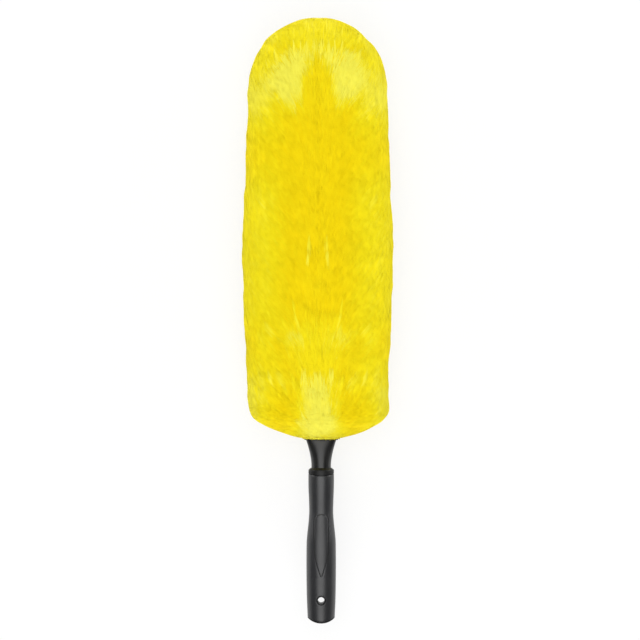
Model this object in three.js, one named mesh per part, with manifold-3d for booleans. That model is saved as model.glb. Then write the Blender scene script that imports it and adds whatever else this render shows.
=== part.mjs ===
// A long-pile hand duster: a black moulded grip and wand, and a yellow fibre sleeve that pulls off
// the wand to be washed. It lies on its back on a table, in millimetres, with +Z up and +Y from the
// grip towards the head. The origin is on the table, under the middle of the whole duster.

import * as THREE from "three";
import { mergeVertices } from "three/addons/utils/BufferGeometryUtils.js";
import Module from "manifold-3d";

const wasm = await Module();
wasm.setup();

// Grip: a hollow moulding, widest at the belly and drawn in at the waist, where the fingers end
const gripLength = 147;
const gripEndWidth = 27.2;
const gripBellyWidth = 29.2;
const gripWaistWidth = 24.4;
const gripTopWidth = 25.6;
const gripDepthShare = 0.95;
const gripWall = 2.8;
// where each width is reached, as shares of the grip's length from its open end
const bellyFromShare = 0.23;
const bellyToShare = 0.55;
const waistFromShare = 0.73;
const waistToShare = 0.82;
const topFromShare = 0.93;

// End cap: a thick plate that arches from side to side over the grip's end, on a hollow plug
const capArch = 5.2;
const capThickness = 1.5;
const capPlugLength = 9;
const capPlugWall = 2.2;

// Hanging hole, with its own liner
const hangHoleFromEnd = 23;
const hangHoleBore = 6.6;
const eyeletWall = 1.2;
const eyeletProud = 0.15;

// Thumb inlay: a drop-shaped pad let into the front of the grip
const inlayWidth = 14.5;
const inlayLength = 62;
const inlayThickness = 1.4;
const inlayProud = 0.2;
const inlayTopShare = 0.74;
const inlayShoulderWidth = 13.2;
const inlayShoulderShare = 0.63;
const inlayBowShare = 0.8;
const inlayPointRadius = 0.6;

// Collar: the ring between grip and neck
const collarLength = 8;
const collarChamfer = 4;
const collarLip = 1;

// Wand: a round spigot, a neck that flares and flattens, and a flat blade with a round tip
const neckRadius = 9.8;
const neckLength = 29.5;
const neckStraight = 3;
const flareShape = 1.6;
const bladeWidth = 31.4;
const bladeThickness = 6;
const pileBeyondTip = 51;
const flattenLength = 30;
const spigotLength = 38;
const barbHeight = 0.7;
const barbLength = 4;
const barbFromEnd = 12;
const windowWidth = 10;
const windowPitch = 38;
const windowBridge = 12;

// Sleeve: the pocket that the wand fills, and the elastic round its mouth
const sleeveWall = 1.6;
const cuffLength = 8;
const cuffDrop = 1.5;

// Fibre: the outline of the head, and the overlapping rows that make it
const pileLength = 421;
const pileWidth = 141;
const pileBulge = 11;
const pileBulgeSpread = 95;
const pileBulgeShare = 0.43;
const pileThickness = 108;
const pressedDepth = 8;
const mouthRound = 24;
const mouthShape = 1.35;
const mouthEdge = 1.5;
const crownRound = 72;
const pileShape = 2.3;
const tierCount = 7;
const firstTip = 70;
const crownLength = 26;
const tuftRise = 34;
const tierStep = 4;
const lockCount = 18;
const lockDepth = 3;
const lockTip = 5;
const lockLean = 0.22;
const narrowLockShare = 0.35;
const broadLockShare = 0.15;
const rootHollowShare = 0.3;

// Clearances
const fitGap = 0.3; // between pieces that are pressed or glued together
const slideGap = 0.4; // between the wand and the sleeve that slides over it
const tierGap = 0.7; // along the duster, between one row of fibre and the next
const overrun = 2; // how far a cutter runs past what it cuts

// Facets
const gripSides = 32;
const gripSteps = 14;
const coreSides = 28;
const neckSteps = 8;
const pileSides = lockCount * 4;
const boreSides = 24;
const archSteps = 12;
const curveSteps = 6;
const mouthRows = 9;
const mouthCrowding = 2;

// Places along the duster
const totalLength = gripLength + collarLength + neckLength + pileLength;
const yEnd = -totalLength / 2;
const yGripTop = yEnd + gripLength;
const yCollarTop = yGripTop + collarLength;
const yMouth = yCollarTop + neckLength;
const yPileTop = yMouth + pileLength;
const bladeLength = pileLength - pileBeyondTip;
const yBladeTip = yMouth + bladeLength;
const yTipCentre = yBladeTip - bladeWidth / 2;
const yFlare = yCollarTop + neckStraight;
const yFlat = yMouth + flattenLength;
const ySpigotEnd = yGripTop - spigotLength;
const yHangHole = yEnd + hangHoleFromEnd;
const windowCount = Math.floor((yTipCentre - yFlat) / windowPitch);

// The rows of fibre between the first and the crown share what is left of the head's length
const tierPitch = (pileLength - firstTip - crownLength) / (tierCount - 2);

// The wand's axis lies this high, because the weight of the duster presses the fibre below it
const axisHeight = pileThickness / 2 - pressedDepth;

const gripPlastic = new THREE.MeshStandardMaterial({ color: 0x3b3d40, roughness: 0.48 });
const inlayRubber = new THREE.MeshStandardMaterial({ color: 0x424447, roughness: 0.6 });
const wandPlastic = new THREE.MeshStandardMaterial({ color: 0x2a2b2b, roughness: 0.35 });
const blackPlastic = new THREE.MeshStandardMaterial({ color: 0x1c1c1d, roughness: 0.4 });
const elastic = new THREE.MeshStandardMaterial({ color: 0x171612, roughness: 0.85 });
const knit = new THREE.MeshStandardMaterial({ color: 0xe6cf2a, roughness: 0.9 });
const fibre = new THREE.MeshStandardMaterial({ color: 0xefd811, roughness: 0.75 });

// One point of a superellipse round the wand's axis: shape 2 is an ellipse, 4 is nearly a rectangle
function rimPoint(angle, halfWidth, halfDepth, shape) {
  const c = Math.cos(angle);
  const s = Math.sin(angle);
  return [
    halfWidth * Math.sign(c) * Math.abs(c) ** (2 / shape),
    axisHeight + halfDepth * Math.sign(s) * Math.abs(s) ** (2 / shape),
  ];
}

// A ring of points across the duster at y
function ring(y, { halfWidth, halfDepth, shape }, sides) {
  return Array.from({ length: sides }, (_, i) => {
    const [x, z] = rimPoint((2 * Math.PI * i) / sides, halfWidth, halfDepth, shape);
    return new THREE.Vector3(x, y, z);
  });
}

// A closed skin over rings of equal count. With poles, it closes to a point at each end, and without
// them its last ring joins its first, as on a sleeve with an inside and an outside. Each four-sided
// patch is split along its shorter diagonal.
function skin(rings, poles) {
  const sides = rings[0].length;
  const points = rings.flat();
  const faces = [];
  const at = (row, i) => (row % rings.length) * sides + (i % sides);
  const rows = poles ? rings.length - 1 : rings.length;
  for (let row = 0; row < rows; row++)
    for (let i = 0; i < sides; i++) {
      const [a, b, c, d] = [at(row, i), at(row, i + 1), at(row + 1, i), at(row + 1, i + 1)];
      const falling = points[b].distanceTo(points[c]) <= points[a].distanceTo(points[d]);
      if (falling) faces.push(a, c, b, b, c, d);
      else faces.push(a, c, d, a, d, b);
    }
  if (poles) {
    const first = points.push(poles[0]) - 1;
    const last = points.push(poles[1]) - 1;
    for (let i = 0; i < sides; i++) {
      faces.push(first, at(0, i), at(0, i + 1));
      faces.push(last, at(rings.length - 1, i + 1), at(rings.length - 1, i));
    }
  }
  return new THREE.BufferGeometry().setFromPoints(points).setIndex(faces);
}

// A rod of changing section along the duster, from stations of [y, section]
function loft(stations, sides) {
  const rings = stations.map(([y, section]) => ring(y, section, sides));
  const end = (y) => new THREE.Vector3(0, y, axisHeight);
  return skin(rings, [end(stations[0][0]), end(stations.at(-1)[0])]);
}

// Geometry and solids, for what has to be cut or joined
function solid(geometry) {
  const bare = geometry.clone();
  bare.deleteAttribute("normal");
  bare.deleteAttribute("uv");
  const merged = mergeVertices(bare);
  return new wasm.Manifold(
    new wasm.Mesh({
      numProp: 3,
      vertProperties: merged.getAttribute("position").array,
      triVerts: new Uint32Array(merged.index.array),
    }),
  );
}

function geometry(cut) {
  const { vertProperties, triVerts } = cut.getMesh();
  return new THREE.BufferGeometry()
    .setAttribute("position", new THREE.BufferAttribute(vertProperties, 3))
    .setIndex(new THREE.BufferAttribute(triVerts, 1));
}

const duster = new THREE.Group();

function add(name, shape, material) {
  const mesh = new THREE.Mesh(shape, material);
  mesh.name = name;
  duster.add(mesh);
}

// The grip's outside as one smooth curve of half width along its length
const gripOutline = new THREE.SplineCurve([
  new THREE.Vector2(0, gripEndWidth / 2),
  new THREE.Vector2(gripLength * bellyFromShare, gripBellyWidth / 2),
  new THREE.Vector2(gripLength * bellyToShare, gripBellyWidth / 2),
  new THREE.Vector2(gripLength * waistFromShare, gripWaistWidth / 2),
  new THREE.Vector2(gripLength * waistToShare, gripWaistWidth / 2),
  new THREE.Vector2(gripLength * topFromShare, gripTopWidth / 2),
  new THREE.Vector2(gripLength, gripTopWidth / 2),
]);

function gripSection(halfWidth, grow) {
  return {
    halfWidth: halfWidth + grow,
    halfDepth: halfWidth * gripDepthShare + grow,
    shape: 2,
  };
}

// The grip's outside, grown or shrunk all round, and longer at each end by reach
function gripLoft(grow, reach) {
  const middle = gripOutline.getPoints(gripSteps);
  const first = middle[0];
  const last = middle.at(-1);
  const ends = reach > 0;
  const points = [
    ...(ends ? [new THREE.Vector2(first.x - reach, first.y)] : []),
    ...middle,
    ...(ends ? [new THREE.Vector2(last.x + reach, last.y)] : []),
  ];
  return loft(
    points.map((p) => [yEnd + p.x, gripSection(p.y, grow)]),
    gripSides,
  );
}

// A round rod along the duster
function rod(radius, fromY, toY, sides = gripSides) {
  const section = { halfWidth: radius, halfDepth: radius, shape: 2 };
  return loft(
    [
      [fromY, section],
      [toY, section],
    ],
    sides,
  );
}

// A round rod straight through the grip at the hanging hole
function hangRod(radius) {
  const length = gripBellyWidth + 2 * overrun;
  return new THREE.CylinderGeometry(radius, radius, length, boreSides)
    .rotateX(Math.PI / 2)
    .translate(0, yHangHole, axisHeight);
}

// The drop outline of the thumb inlay: an arch at the top, and sides that close to a point towards
// the end cap
function dropPrism(grow) {
  const radius = inlayWidth / 2 + grow;
  const shoulder = inlayShoulderWidth / 2 + grow;
  const point = inlayPointRadius + grow;
  const yTop = yEnd + gripLength * inlayTopShare;
  const yArch = yTop - inlayWidth / 2;
  const yShoulder = yTop - inlayLength * inlayShoulderShare;
  const yPoint = yTop - inlayLength + inlayPointRadius;
  const yBow = (yShoulder + yPoint) / 2;
  const bow = shoulder * inlayBowShare;
  const outline = new THREE.Shape();
  outline.moveTo(radius, yArch);
  outline.absarc(0, yArch, radius, 0, Math.PI, false);
  outline.lineTo(-shoulder, yShoulder);
  outline.quadraticCurveTo(-bow, yBow, -point, yPoint);
  outline.absarc(0, yPoint, point, Math.PI, 2 * Math.PI, false);
  outline.quadraticCurveTo(bow, yBow, shoulder, yShoulder);
  return new THREE.ExtrudeGeometry(outline, {
    depth: gripBellyWidth,
    bevelEnabled: false,
    curveSegments: curveSteps,
  }).translate(0, 0, axisHeight);
}

// What lies inside the arch of the grip's end, drawn in by inset, as far as the top of the duster
function withinArch(inset) {
  const half = gripEndWidth / 2;
  const radius = (half ** 2 + capArch ** 2) / (2 * capArch);
  const reach = radius - inset;
  const side = Math.asin(half / radius);
  const outline = new THREE.Shape();
  outline.moveTo(-gripBellyWidth, yGripTop + spigotLength);
  outline.lineTo(-gripBellyWidth, yEnd + radius - reach * Math.cos(side));
  outline.absarc(0, yEnd + radius, reach, -Math.PI / 2 - side, -Math.PI / 2 + side, false);
  outline.lineTo(gripBellyWidth, yEnd + radius - reach * Math.cos(side));
  outline.lineTo(gripBellyWidth, yGripTop + spigotLength);
  return new THREE.ExtrudeGeometry(outline, {
    depth: 2 * gripBellyWidth,
    bevelEnabled: false,
    curveSegments: archSteps,
  }).translate(0, 0, axisHeight - gripBellyWidth);
}

function gripShell() {
  const socketRadius = neckRadius + fitGap;
  const barbSeat = rod(
    socketRadius + barbHeight,
    ySpigotEnd + barbFromEnd - fitGap,
    ySpigotEnd + barbFromEnd + barbLength + fitGap,
  );
  const hollowTop = rod(gripBellyWidth, ySpigotEnd - fitGap, yGripTop + overrun * 2);
  const hollow = solid(gripLoft(-gripWall, overrun)).subtract(solid(hollowTop));
  const inlayFloor = solid(gripLoft(inlayProud - inlayThickness - fitGap, 0));
  const inlaySeat = solid(dropPrism(fitGap)).subtract(inlayFloor);
  return geometry(
    solid(gripLoft(0, 0))
      .intersect(solid(withinArch(capThickness + fitGap)))
      .subtract(hollow)
      .subtract(solid(rod(socketRadius, ySpigotEnd - fitGap, yGripTop + overrun)))
      .subtract(solid(barbSeat))
      .subtract(solid(hangRod(hangHoleBore / 2 + eyeletWall + fitGap)))
      .subtract(inlaySeat),
  );
}

function thumbInlay() {
  return geometry(
    solid(gripLoft(inlayProud, 0))
      .intersect(solid(dropPrism(0)))
      .subtract(solid(gripLoft(inlayProud - inlayThickness, 0))),
  );
}

function hangEyelet() {
  return geometry(
    solid(gripLoft(eyeletProud, 0))
      .intersect(solid(hangRod(hangHoleBore / 2 + eyeletWall)))
      .subtract(solid(hangRod(hangHoleBore / 2))),
  );
}

function collarRing() {
  const wide = gripSection(gripTopWidth / 2, 0);
  const chamferFoot = yCollarTop - collarChamfer;
  const narrow = {
    halfWidth: neckRadius + collarLip,
    halfDepth: neckRadius + collarLip,
    shape: 2,
  };
  const body = loft(
    [
      [yGripTop + fitGap, wide],
      [chamferFoot, wide],
      [yCollarTop, narrow],
    ],
    gripSides,
  );
  const bore = rod(neckRadius + fitGap, yGripTop - overrun, yCollarTop + overrun);
  return geometry(solid(body).subtract(solid(bore)));
}

// The arched plate over the grip's open end, with a hollow plug that the grip's wall holds
function endCap() {
  const plate = solid(gripLoft(0, 0))
    .intersect(solid(withinArch(0)))
    .subtract(solid(withinArch(capThickness)));
  const beyondPlug = rod(gripBellyWidth, yEnd + capPlugLength, yGripTop + overrun * 2);
  const plug = solid(gripLoft(-gripWall - fitGap, 0))
    .intersect(solid(withinArch(0)))
    .subtract(solid(beyondPlug));
  const core = solid(gripLoft(-gripWall - fitGap - capPlugWall, 0)).intersect(
    solid(withinArch(capThickness)),
  );
  return geometry(plate.add(plug).subtract(core));
}

// The wand's section at y, from the round spigot through the flare to the flat blade and its tip
function coreSection(y, grow = 0) {
  const flare = THREE.MathUtils.clamp((y - yFlare) / (yMouth - yFlare), 0, 1) ** flareShape;
  const flat = THREE.MathUtils.smoothstep(y, yFlare, yFlat);
  const tip = Math.max(0, y - yTipCentre) / (bladeWidth / 2 + grow);
  const lerp = THREE.MathUtils.lerp;
  return {
    halfWidth:
      (lerp(neckRadius, bladeWidth / 2, flare) + grow) * Math.sqrt(Math.max(0, 1 - tip ** 2)),
    halfDepth: lerp(neckRadius, bladeThickness / 2, flat) + grow,
    shape: lerp(2, 4, flat),
  };
}

// Where the wand's section changes, from the mouth of the sleeve to the tip
function coreStations(grow) {
  const stations = [];
  for (let step = 0; step <= curveSteps; step++)
    stations.push(yMouth + (flattenLength * step) / curveSteps);
  for (let step = 0; step < curveSteps; step++) {
    const turn = (Math.PI / 2) * (step / curveSteps);
    stations.push(yTipCentre + (bladeWidth / 2 + grow) * Math.sin(turn));
  }
  return stations;
}

function wandBlade() {
  const neck = [];
  for (let step = 0; step < neckSteps; step++)
    neck.push(yFlare + ((yMouth - yFlare) * step) / neckSteps);
  const stations = [ySpigotEnd, ...neck, ...coreStations(0)];
  const rings = stations.map((y) => ring(y, coreSection(y), coreSides));
  const body = skin(rings, [
    new THREE.Vector3(0, ySpigotEnd, axisHeight),
    new THREE.Vector3(0, yBladeTip, axisHeight),
  ]);
  const barbFrom = ySpigotEnd + barbFromEnd;
  const barb = rod(neckRadius + barbHeight, barbFrom, barbFrom + barbLength, coreSides);
  let wand = solid(body).add(solid(barb));
  for (let i = 0; i < windowCount; i++) wand = wand.subtract(solid(bladeWindow(i)));
  return geometry(wand);
}

// One of the long windows down the middle of the blade, counted from the tip
function bladeWindow(index) {
  const radius = windowWidth / 2;
  const half = (windowPitch - windowBridge) / 2 - radius;
  const middle = yTipCentre - half - radius - index * windowPitch;
  const outline = new THREE.Shape();
  outline.absarc(0, middle + half, radius, 0, Math.PI, false);
  outline.absarc(0, middle - half, radius, Math.PI, 2 * Math.PI, false);
  return new THREE.ExtrudeGeometry(outline, {
    depth: bladeThickness + 2 * overrun,
    bevelEnabled: false,
    curveSegments: curveSteps,
  }).translate(0, 0, axisHeight - bladeThickness / 2 - overrun);
}

const pocketGrow = slideGap + sleeveWall;
const pileGrow = pocketGrow + fitGap;

// The elastic's section at y, wide enough everywhere for the widest part of the blade
function cuffSection(y, grow) {
  return { ...coreSection(y, grow), halfWidth: bladeWidth / 2 + grow };
}

function elasticCuff() {
  const from = yMouth - cuffDrop;
  const to = from + cuffLength;
  const side = (grow) =>
    [from, yMouth, (yMouth + to) / 2, to].map((y) => ring(y, cuffSection(y, grow), coreSides));
  return skin([...side(pocketGrow), ...side(slideGap).reverse()], null);
}

function sleeveBacking() {
  const from = yMouth - cuffDrop + cuffLength + fitGap;
  const side = (grow) =>
    [from, ...coreStations(grow).filter((y) => y > from)].map((y) =>
      ring(y, coreSection(y, grow), coreSides),
    );
  return skin(
    [...side(slideGap).reverse(), ...side(pocketGrow)],
    [
      new THREE.Vector3(0, yBladeTip + slideGap, axisHeight),
      new THREE.Vector3(0, yBladeTip + pocketGrow, axisHeight),
    ],
  );
}

// The head's outline: its half width and half depth at y, round at the crown and drawn in at the mouth
function pileSection(y) {
  const along = THREE.MathUtils.clamp(y - yMouth, 0, pileLength);
  const bulge =
    (pileBulge / 2) *
    Math.exp(-(((along - pileLength * pileBulgeShare) / pileBulgeSpread) ** 2));
  const toMouth = Math.max(0, 1 - along / mouthRound);
  const open = (1 - toMouth ** mouthShape) ** (1 / mouthShape);
  const toCrown = Math.max(0, 1 - (pileLength - along) / crownRound);
  const dome = Math.sqrt(1 - toCrown ** 2);
  const mouth = coreSection(yMouth, pileGrow + mouthEdge);
  const lerp = THREE.MathUtils.lerp;
  return {
    halfWidth: lerp(mouth.halfWidth, pileWidth / 2 + bulge, open) * dome,
    halfDepth: lerp(mouth.halfDepth, pileThickness / 2, open) * dome,
    shape: pileShape,
  };
}

// A point on the fibre from the sleeve at root to the outline at y: inset is how far short of the
// outline it stops. A fibre also stops at the table.
function fibrePoint(angle, root, y, inset) {
  const inner = coreSection(root, pileGrow);
  const outer = pileSection(y);
  const [x0, z0] = rimPoint(angle, inner.halfWidth, inner.halfDepth, inner.shape);
  const [x1, z1] = rimPoint(angle, outer.halfWidth, outer.halfDepth, outer.shape);
  const from = new THREE.Vector3(x0, root, z0);
  const to = new THREE.Vector3(x1, y, z1);
  let reach = Math.max(0, 1 - inset / from.distanceTo(to));
  if (z1 < 0) reach = Math.min(reach, z0 / (z0 - z1));
  const point = from.lerp(to, reach);
  if (Math.abs(point.z) < fitGap / 10) point.z = 0;
  return point;
}

// How deep the hollow between two locks is here, from 0 on a lock's ridge to 1 between two. Locks
// lean away from the middle of the front and back as they rise, and each row is staggered.
function hollowAt(angle, up, tier) {
  const turn = angle + lockLean * up * Math.sin(2 * angle);
  const lock = lockCount * turn + tier * Math.PI;
  const broad = Math.round(lockCount / 3) * turn + tier;
  return narrowLockShare * (1 - Math.cos(lock)) + broadLockShare * (1 - Math.cos(broad));
}

// The height on the outline where a row's tips end
function tipHeight(angle, tier) {
  return yMouth + firstTip + tier * tierPitch - lockTip * hollowAt(angle, 1, tier);
}

// The height on the sleeve where a row's last fibres are rooted
function rootHeight(tier) {
  return yMouth + firstTip + tier * tierPitch - tuftRise;
}

// One row of fibre, from the row below it to its own tips
function fibreTier(tier) {
  const top = tier === tierCount - 1;
  const angles = Array.from({ length: pileSides }, (_, i) => (2 * Math.PI * i) / pileSides);
  const rootLow = tier ? rootHeight(tier - 1) + tierGap : yMouth;
  const rootHigh = top ? yBladeTip : rootHeight(tier);
  const yLow = (angle) => (tier ? tipHeight(angle, tier - 1) + tierGap : yMouth);
  const yHigh = (angle) => (top ? yPileTop : tipHeight(angle, tier));
  const lerp = THREE.MathUtils.lerp;
  const rows = top ? curveSteps + 1 : tier ? curveSteps - 1 : mouthRows;
  const outside = [];
  for (let row = 0; row <= rows - (top ? 1 : 0); row++) {
    const share = row / rows;
    const up = top ? Math.sin((Math.PI / 2) * share) : tier ? share : share ** mouthCrowding;
    const step = tier ? tierStep * (1 - up) ** 2 : 0;
    const fade = top ? 1 - up ** 4 : tier ? lerp(rootHollowShare, 1, up) : up;
    outside.push(
      angles.map((angle) => {
        const inset = step + lockDepth * hollowAt(angle, up, tier) * fade;
        return fibrePoint(angle, lerp(rootLow, rootHigh, up), lerp(yLow(angle), yHigh(angle), up), inset);
      }),
    );
  }
  const rootRing = (y) => ring(y, coreSection(y, pileGrow), pileSides);
  if (top) {
    const tip = coreStations(pileGrow).filter((y) => y > rootLow);
    const inside = [...tip.reverse(), rootLow].map(rootRing);
    return skin([...inside, ...outside], [
      new THREE.Vector3(0, yBladeTip + pileGrow, axisHeight),
      new THREE.Vector3(0, yPileTop, axisHeight),
    ]);
  }
  const bends = coreStations(pileGrow).filter((y) => y > rootLow && y < rootHigh);
  const inside = [rootHigh, ...bends.reverse(), rootLow].map(rootRing);
  return skin([...inside, ...outside], null);
}

add("grip_shell", gripShell(), gripPlastic);
add("thumb_inlay", thumbInlay(), inlayRubber);
add("hang_eyelet", hangEyelet(), blackPlastic);
add("end_cap", endCap(), blackPlastic);
add("collar_ring", collarRing(), blackPlastic);
add("wand_blade", wandBlade(), wandPlastic);
add("elastic_cuff", elasticCuff(), elastic);
add("sleeve_backing", sleeveBacking(), knit);
for (let tier = 0; tier < tierCount; tier++)
  add(tier < tierCount - 1 ? `fibre_tier_${tier + 1}` : "fibre_crown", fibreTier(tier), fibre);

export default duster;
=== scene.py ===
# %% [markdown]
# # A long-pile duster on a table
#
# The real object is a household duster: a black moulded grip, a wand that turns into a flat blade,
# and a yellow fibre sleeve that is pulled over the blade and held by an elastic round its mouth. It
# lies on its back on a pale table and the photograph looks straight down on it.
#
# The solids come packed with their places and their one joint, so this script only dresses them:
# each hard piece is made again with round edges, and each row of fibre becomes a dense bed under
# thousands of tapered fibres. Lengths are in metres, +Y runs from the grip to the crown, and +Z is
# up.

import math

import bmesh
import bpy
import numpy as np
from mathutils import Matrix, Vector


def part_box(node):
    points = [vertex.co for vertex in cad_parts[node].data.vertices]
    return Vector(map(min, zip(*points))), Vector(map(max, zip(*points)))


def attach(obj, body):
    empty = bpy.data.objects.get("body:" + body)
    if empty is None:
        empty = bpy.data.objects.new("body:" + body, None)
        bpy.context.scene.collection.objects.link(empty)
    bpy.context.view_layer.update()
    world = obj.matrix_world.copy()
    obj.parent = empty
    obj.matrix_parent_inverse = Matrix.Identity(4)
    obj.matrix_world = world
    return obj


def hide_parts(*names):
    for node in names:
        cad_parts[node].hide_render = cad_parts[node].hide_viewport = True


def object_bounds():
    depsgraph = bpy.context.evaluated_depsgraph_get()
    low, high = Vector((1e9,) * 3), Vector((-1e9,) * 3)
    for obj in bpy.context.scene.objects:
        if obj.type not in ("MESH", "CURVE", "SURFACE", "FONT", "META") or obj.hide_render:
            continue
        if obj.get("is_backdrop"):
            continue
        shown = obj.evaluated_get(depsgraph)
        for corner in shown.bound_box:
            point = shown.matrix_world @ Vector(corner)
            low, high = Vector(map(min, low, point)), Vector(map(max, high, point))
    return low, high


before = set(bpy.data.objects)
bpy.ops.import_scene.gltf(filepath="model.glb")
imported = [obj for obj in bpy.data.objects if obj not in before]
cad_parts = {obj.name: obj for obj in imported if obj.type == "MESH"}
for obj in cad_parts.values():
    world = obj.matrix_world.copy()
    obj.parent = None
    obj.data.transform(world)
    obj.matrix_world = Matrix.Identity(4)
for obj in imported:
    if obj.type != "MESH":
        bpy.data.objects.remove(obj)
cad_low, cad_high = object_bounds()
MM = 0.001

# %% [markdown]
# ## Where things are
#
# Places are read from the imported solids, so that a changed solid moves its dressing too. The wand's
# axis is the line that grip, neck and blade share.

# %% Places taken from the solids
wand_low, wand_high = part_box("wand_blade")
AXIS_Z = (wand_low.z + wand_high.z) / 2
BLADE_TIP_Y = wand_high.y
MOUTH_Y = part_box("fibre_tier_1")[0].y
CROWN_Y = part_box("fibre_crown")[1].y
print(f"axis {AXIS_Z:.4f} m up, mouth at {MOUTH_Y:.4f}, crown at {CROWN_Y:.4f}")

# %% [markdown]
# ## Camera
#
# A product photograph of a long thing is taken from far away with a long lens, so that near and far
# parts keep one scale. The camera hangs four and a half metres above the table and looks straight
# down. Its lens is worked out so that the picture is 640 mm wide at the height of the wand.

# %% Camera
CAMERA_HEIGHT = 4.5
CAMERA_X = -0.0012
FRAME_WIDTH = 0.640
SENSOR_WIDTH = 36

camera_data = bpy.data.cameras.new("camera")
camera_data.sensor_width = SENSOR_WIDTH
camera_data.lens = camera_data.sensor_width * (CAMERA_HEIGHT - AXIS_Z) / FRAME_WIDTH
camera = bpy.data.objects.new("camera", camera_data)
camera.location = (CAMERA_X, 0, CAMERA_HEIGHT)
bpy.context.collection.objects.link(camera)
bpy.context.scene.camera = camera
bpy.context.scene.view_settings.view_transform = "Standard"
print(f"lens {camera_data.lens:.0f} mm")

# %% [markdown]
# ## Materials from nodes
#
# Every surface here is worked out by nodes, mostly from its place on the object, so it needs no
# picture and holds at any distance. Two helpers keep that short: one starts a material, and the
# other adds a node and joins its inputs.


# %% Helpers for nodes
def node_material(name):
    """A new material: the material itself, its node tree and its Principled shader."""
    material = bpy.data.materials.new(name)
    material.use_nodes = True
    shader = material.node_tree.nodes["Principled BSDF"]
    return material, material.node_tree, shader


def add_node(tree, kind, inputs=(), **settings):
    """One node, with its settings and with each input set to a value or joined to a socket."""
    node = tree.nodes.new(kind)
    for key, value in settings.items():
        setattr(node, key, value)
    for key, value in dict(inputs).items():
        if isinstance(value, bpy.types.NodeSocket):
            tree.links.new(value, node.inputs[key])
        else:
            node.inputs[key].default_value = value
    return node


# %% [markdown]
# ## Table
#
# The photograph has hardly any table: white paper with a breath of shadow. Paper that bright would
# throw light back on the object, so the table is plain pale grey to the light and nearly white only
# where it is seen, straight or in a reflection. A Light Path node tells these apart, and mixing in
# a share of the lit table keeps the shadow.

# %% Table
TABLE_HALF = 6.0
SEEN_WHITE = 0.8
TABLE_GREYS = {"A": (0.93, 0.93, 0.93, 1), "B": (0.96, 0.96, 0.96, 1)}


def whiten_when_seen(tree, shader):
    """Shows a surface as nearly white paper, with a light shadow, and lights nothing with it."""
    seen = add_node(tree, "ShaderNodeLightPath")
    rays = seen.outputs["Is Camera Ray"]
    for kind in ("Is Glossy Ray", "Is Transmission Ray"):
        inputs = {0: rays, 1: seen.outputs[kind]}
        rays = add_node(tree, "ShaderNodeMath", inputs, operation="MAXIMUM").outputs[0]
    share = add_node(tree, "ShaderNodeMath", {0: rays, 1: SEEN_WHITE}, operation="MULTIPLY")
    white = add_node(tree, "ShaderNodeEmission", {"Color": (1, 1, 1, 1), "Strength": 1.0})
    mix = add_node(tree, "ShaderNodeMixShader", {0: share.outputs[0], 1: shader.outputs["BSDF"]})
    tree.links.new(white.outputs["Emission"], mix.inputs[2])
    output = next(node for node in tree.nodes if node.bl_idname == "ShaderNodeOutputMaterial")
    tree.links.new(mix.outputs["Shader"], output.inputs["Surface"])


def pale_paper():
    """Faintly clouded matt paper."""
    material, tree, shader = node_material("pale_table")
    place = add_node(tree, "ShaderNodeTexCoord")
    cloud = add_node(tree, "ShaderNodeTexNoise", {"Vector": place.outputs["Object"], "Scale": 3.0})
    tint = add_node(tree, "ShaderNodeMix", {"Factor": cloud.outputs["Fac"]}, data_type="RGBA")
    for socket, grey in TABLE_GREYS.items():
        tint.inputs[socket].default_value = grey
    tree.links.new(tint.outputs["Result"], shader.inputs["Base Color"])
    shader.inputs["Roughness"].default_value = 0.9
    shader.inputs["Specular IOR Level"].default_value = 0.1
    whiten_when_seen(tree, shader)
    return material


table_mesh = bpy.data.meshes.new("table_top")
signs = [(-1, -1), (1, -1), (1, 1), (-1, 1)]
corners = [(x * TABLE_HALF, y * TABLE_HALF, 0) for x, y in signs]
table_mesh.from_pydata(corners, [], [(0, 1, 2, 3)])
table_mesh.materials.append(pale_paper())
table = bpy.data.objects.new("table_top", table_mesh)
bpy.context.collection.objects.link(table)
table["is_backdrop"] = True
print("table", 2 * TABLE_HALF, "m wide")

# %% [markdown]
# ## Light
#
# The photograph was lit softly from all round, with a little more light from above. One wide panel
# over the duster, a low panel on each of its four sides and an even pale room do the same: colours
# come out about as they are written, and only the roundness of things shades them.

# %% Room and lamps
ROOM_STRENGTH = 0.19
# Name, width, height, watts, place and the point it is turned to
PANELS = [
    ("front_panel", 2.2, 2.2, 34.6, (-0.15, -0.1, 2.4), (-0.05, 0, 0)),
    ("left_panel", 1.2, 0.6, 8, (-1.5, 0.7, 0.4), (0, 0.1, 0.05)),
    ("right_panel", 1.2, 0.6, 10, (1.5, 0.7, 0.4), (0, 0.1, 0.05)),
    ("low_panel", 1.2, 0.8, 15.5, (0, -1.6, 0.8), (0, -0.1, 0.05)),
    ("high_panel", 1.2, 0.8, 13, (0, 1.8, 0.9), (0, 0.3, 0.05)),
]

for name, wide, high, watts, place, aim in PANELS:
    data = bpy.data.lights.new(name, "AREA")
    data.shape, data.size, data.size_y, data.energy = "RECTANGLE", wide, high, watts
    light = bpy.data.objects.new(name, data)
    light.location = place
    light.rotation_euler = Vector(np.subtract(aim, place)).to_track_quat("-Z", "Y").to_euler()
    bpy.context.collection.objects.link(light)

world = bpy.data.worlds.new("pale_room")
bpy.context.scene.world = world
world.use_nodes = True
world.node_tree.nodes["Background"].inputs["Color"].default_value = (1, 1, 1, 1)
world.node_tree.nodes["Background"].inputs["Strength"].default_value = ROOM_STRENGTH
print(len(PANELS), "panels,", sum(panel[3] for panel in PANELS), "W in all")

# %% [markdown]
# ## Skins made of rings
#
# Nearly everything here is long and round, so one tool makes most of it: a stack of closed rings
# of points, joined into a skin. A skin either closes to a point at both ends, or its last ring
# joins its first, which makes a hollow tube with an inside and an outside. Edges that turn by more
# than a set angle stay sharp, and all others are shaded smooth.


# %% Rings
def angles_round(sides):
    return np.arange(sides) * 2 * math.pi / sides


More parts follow.
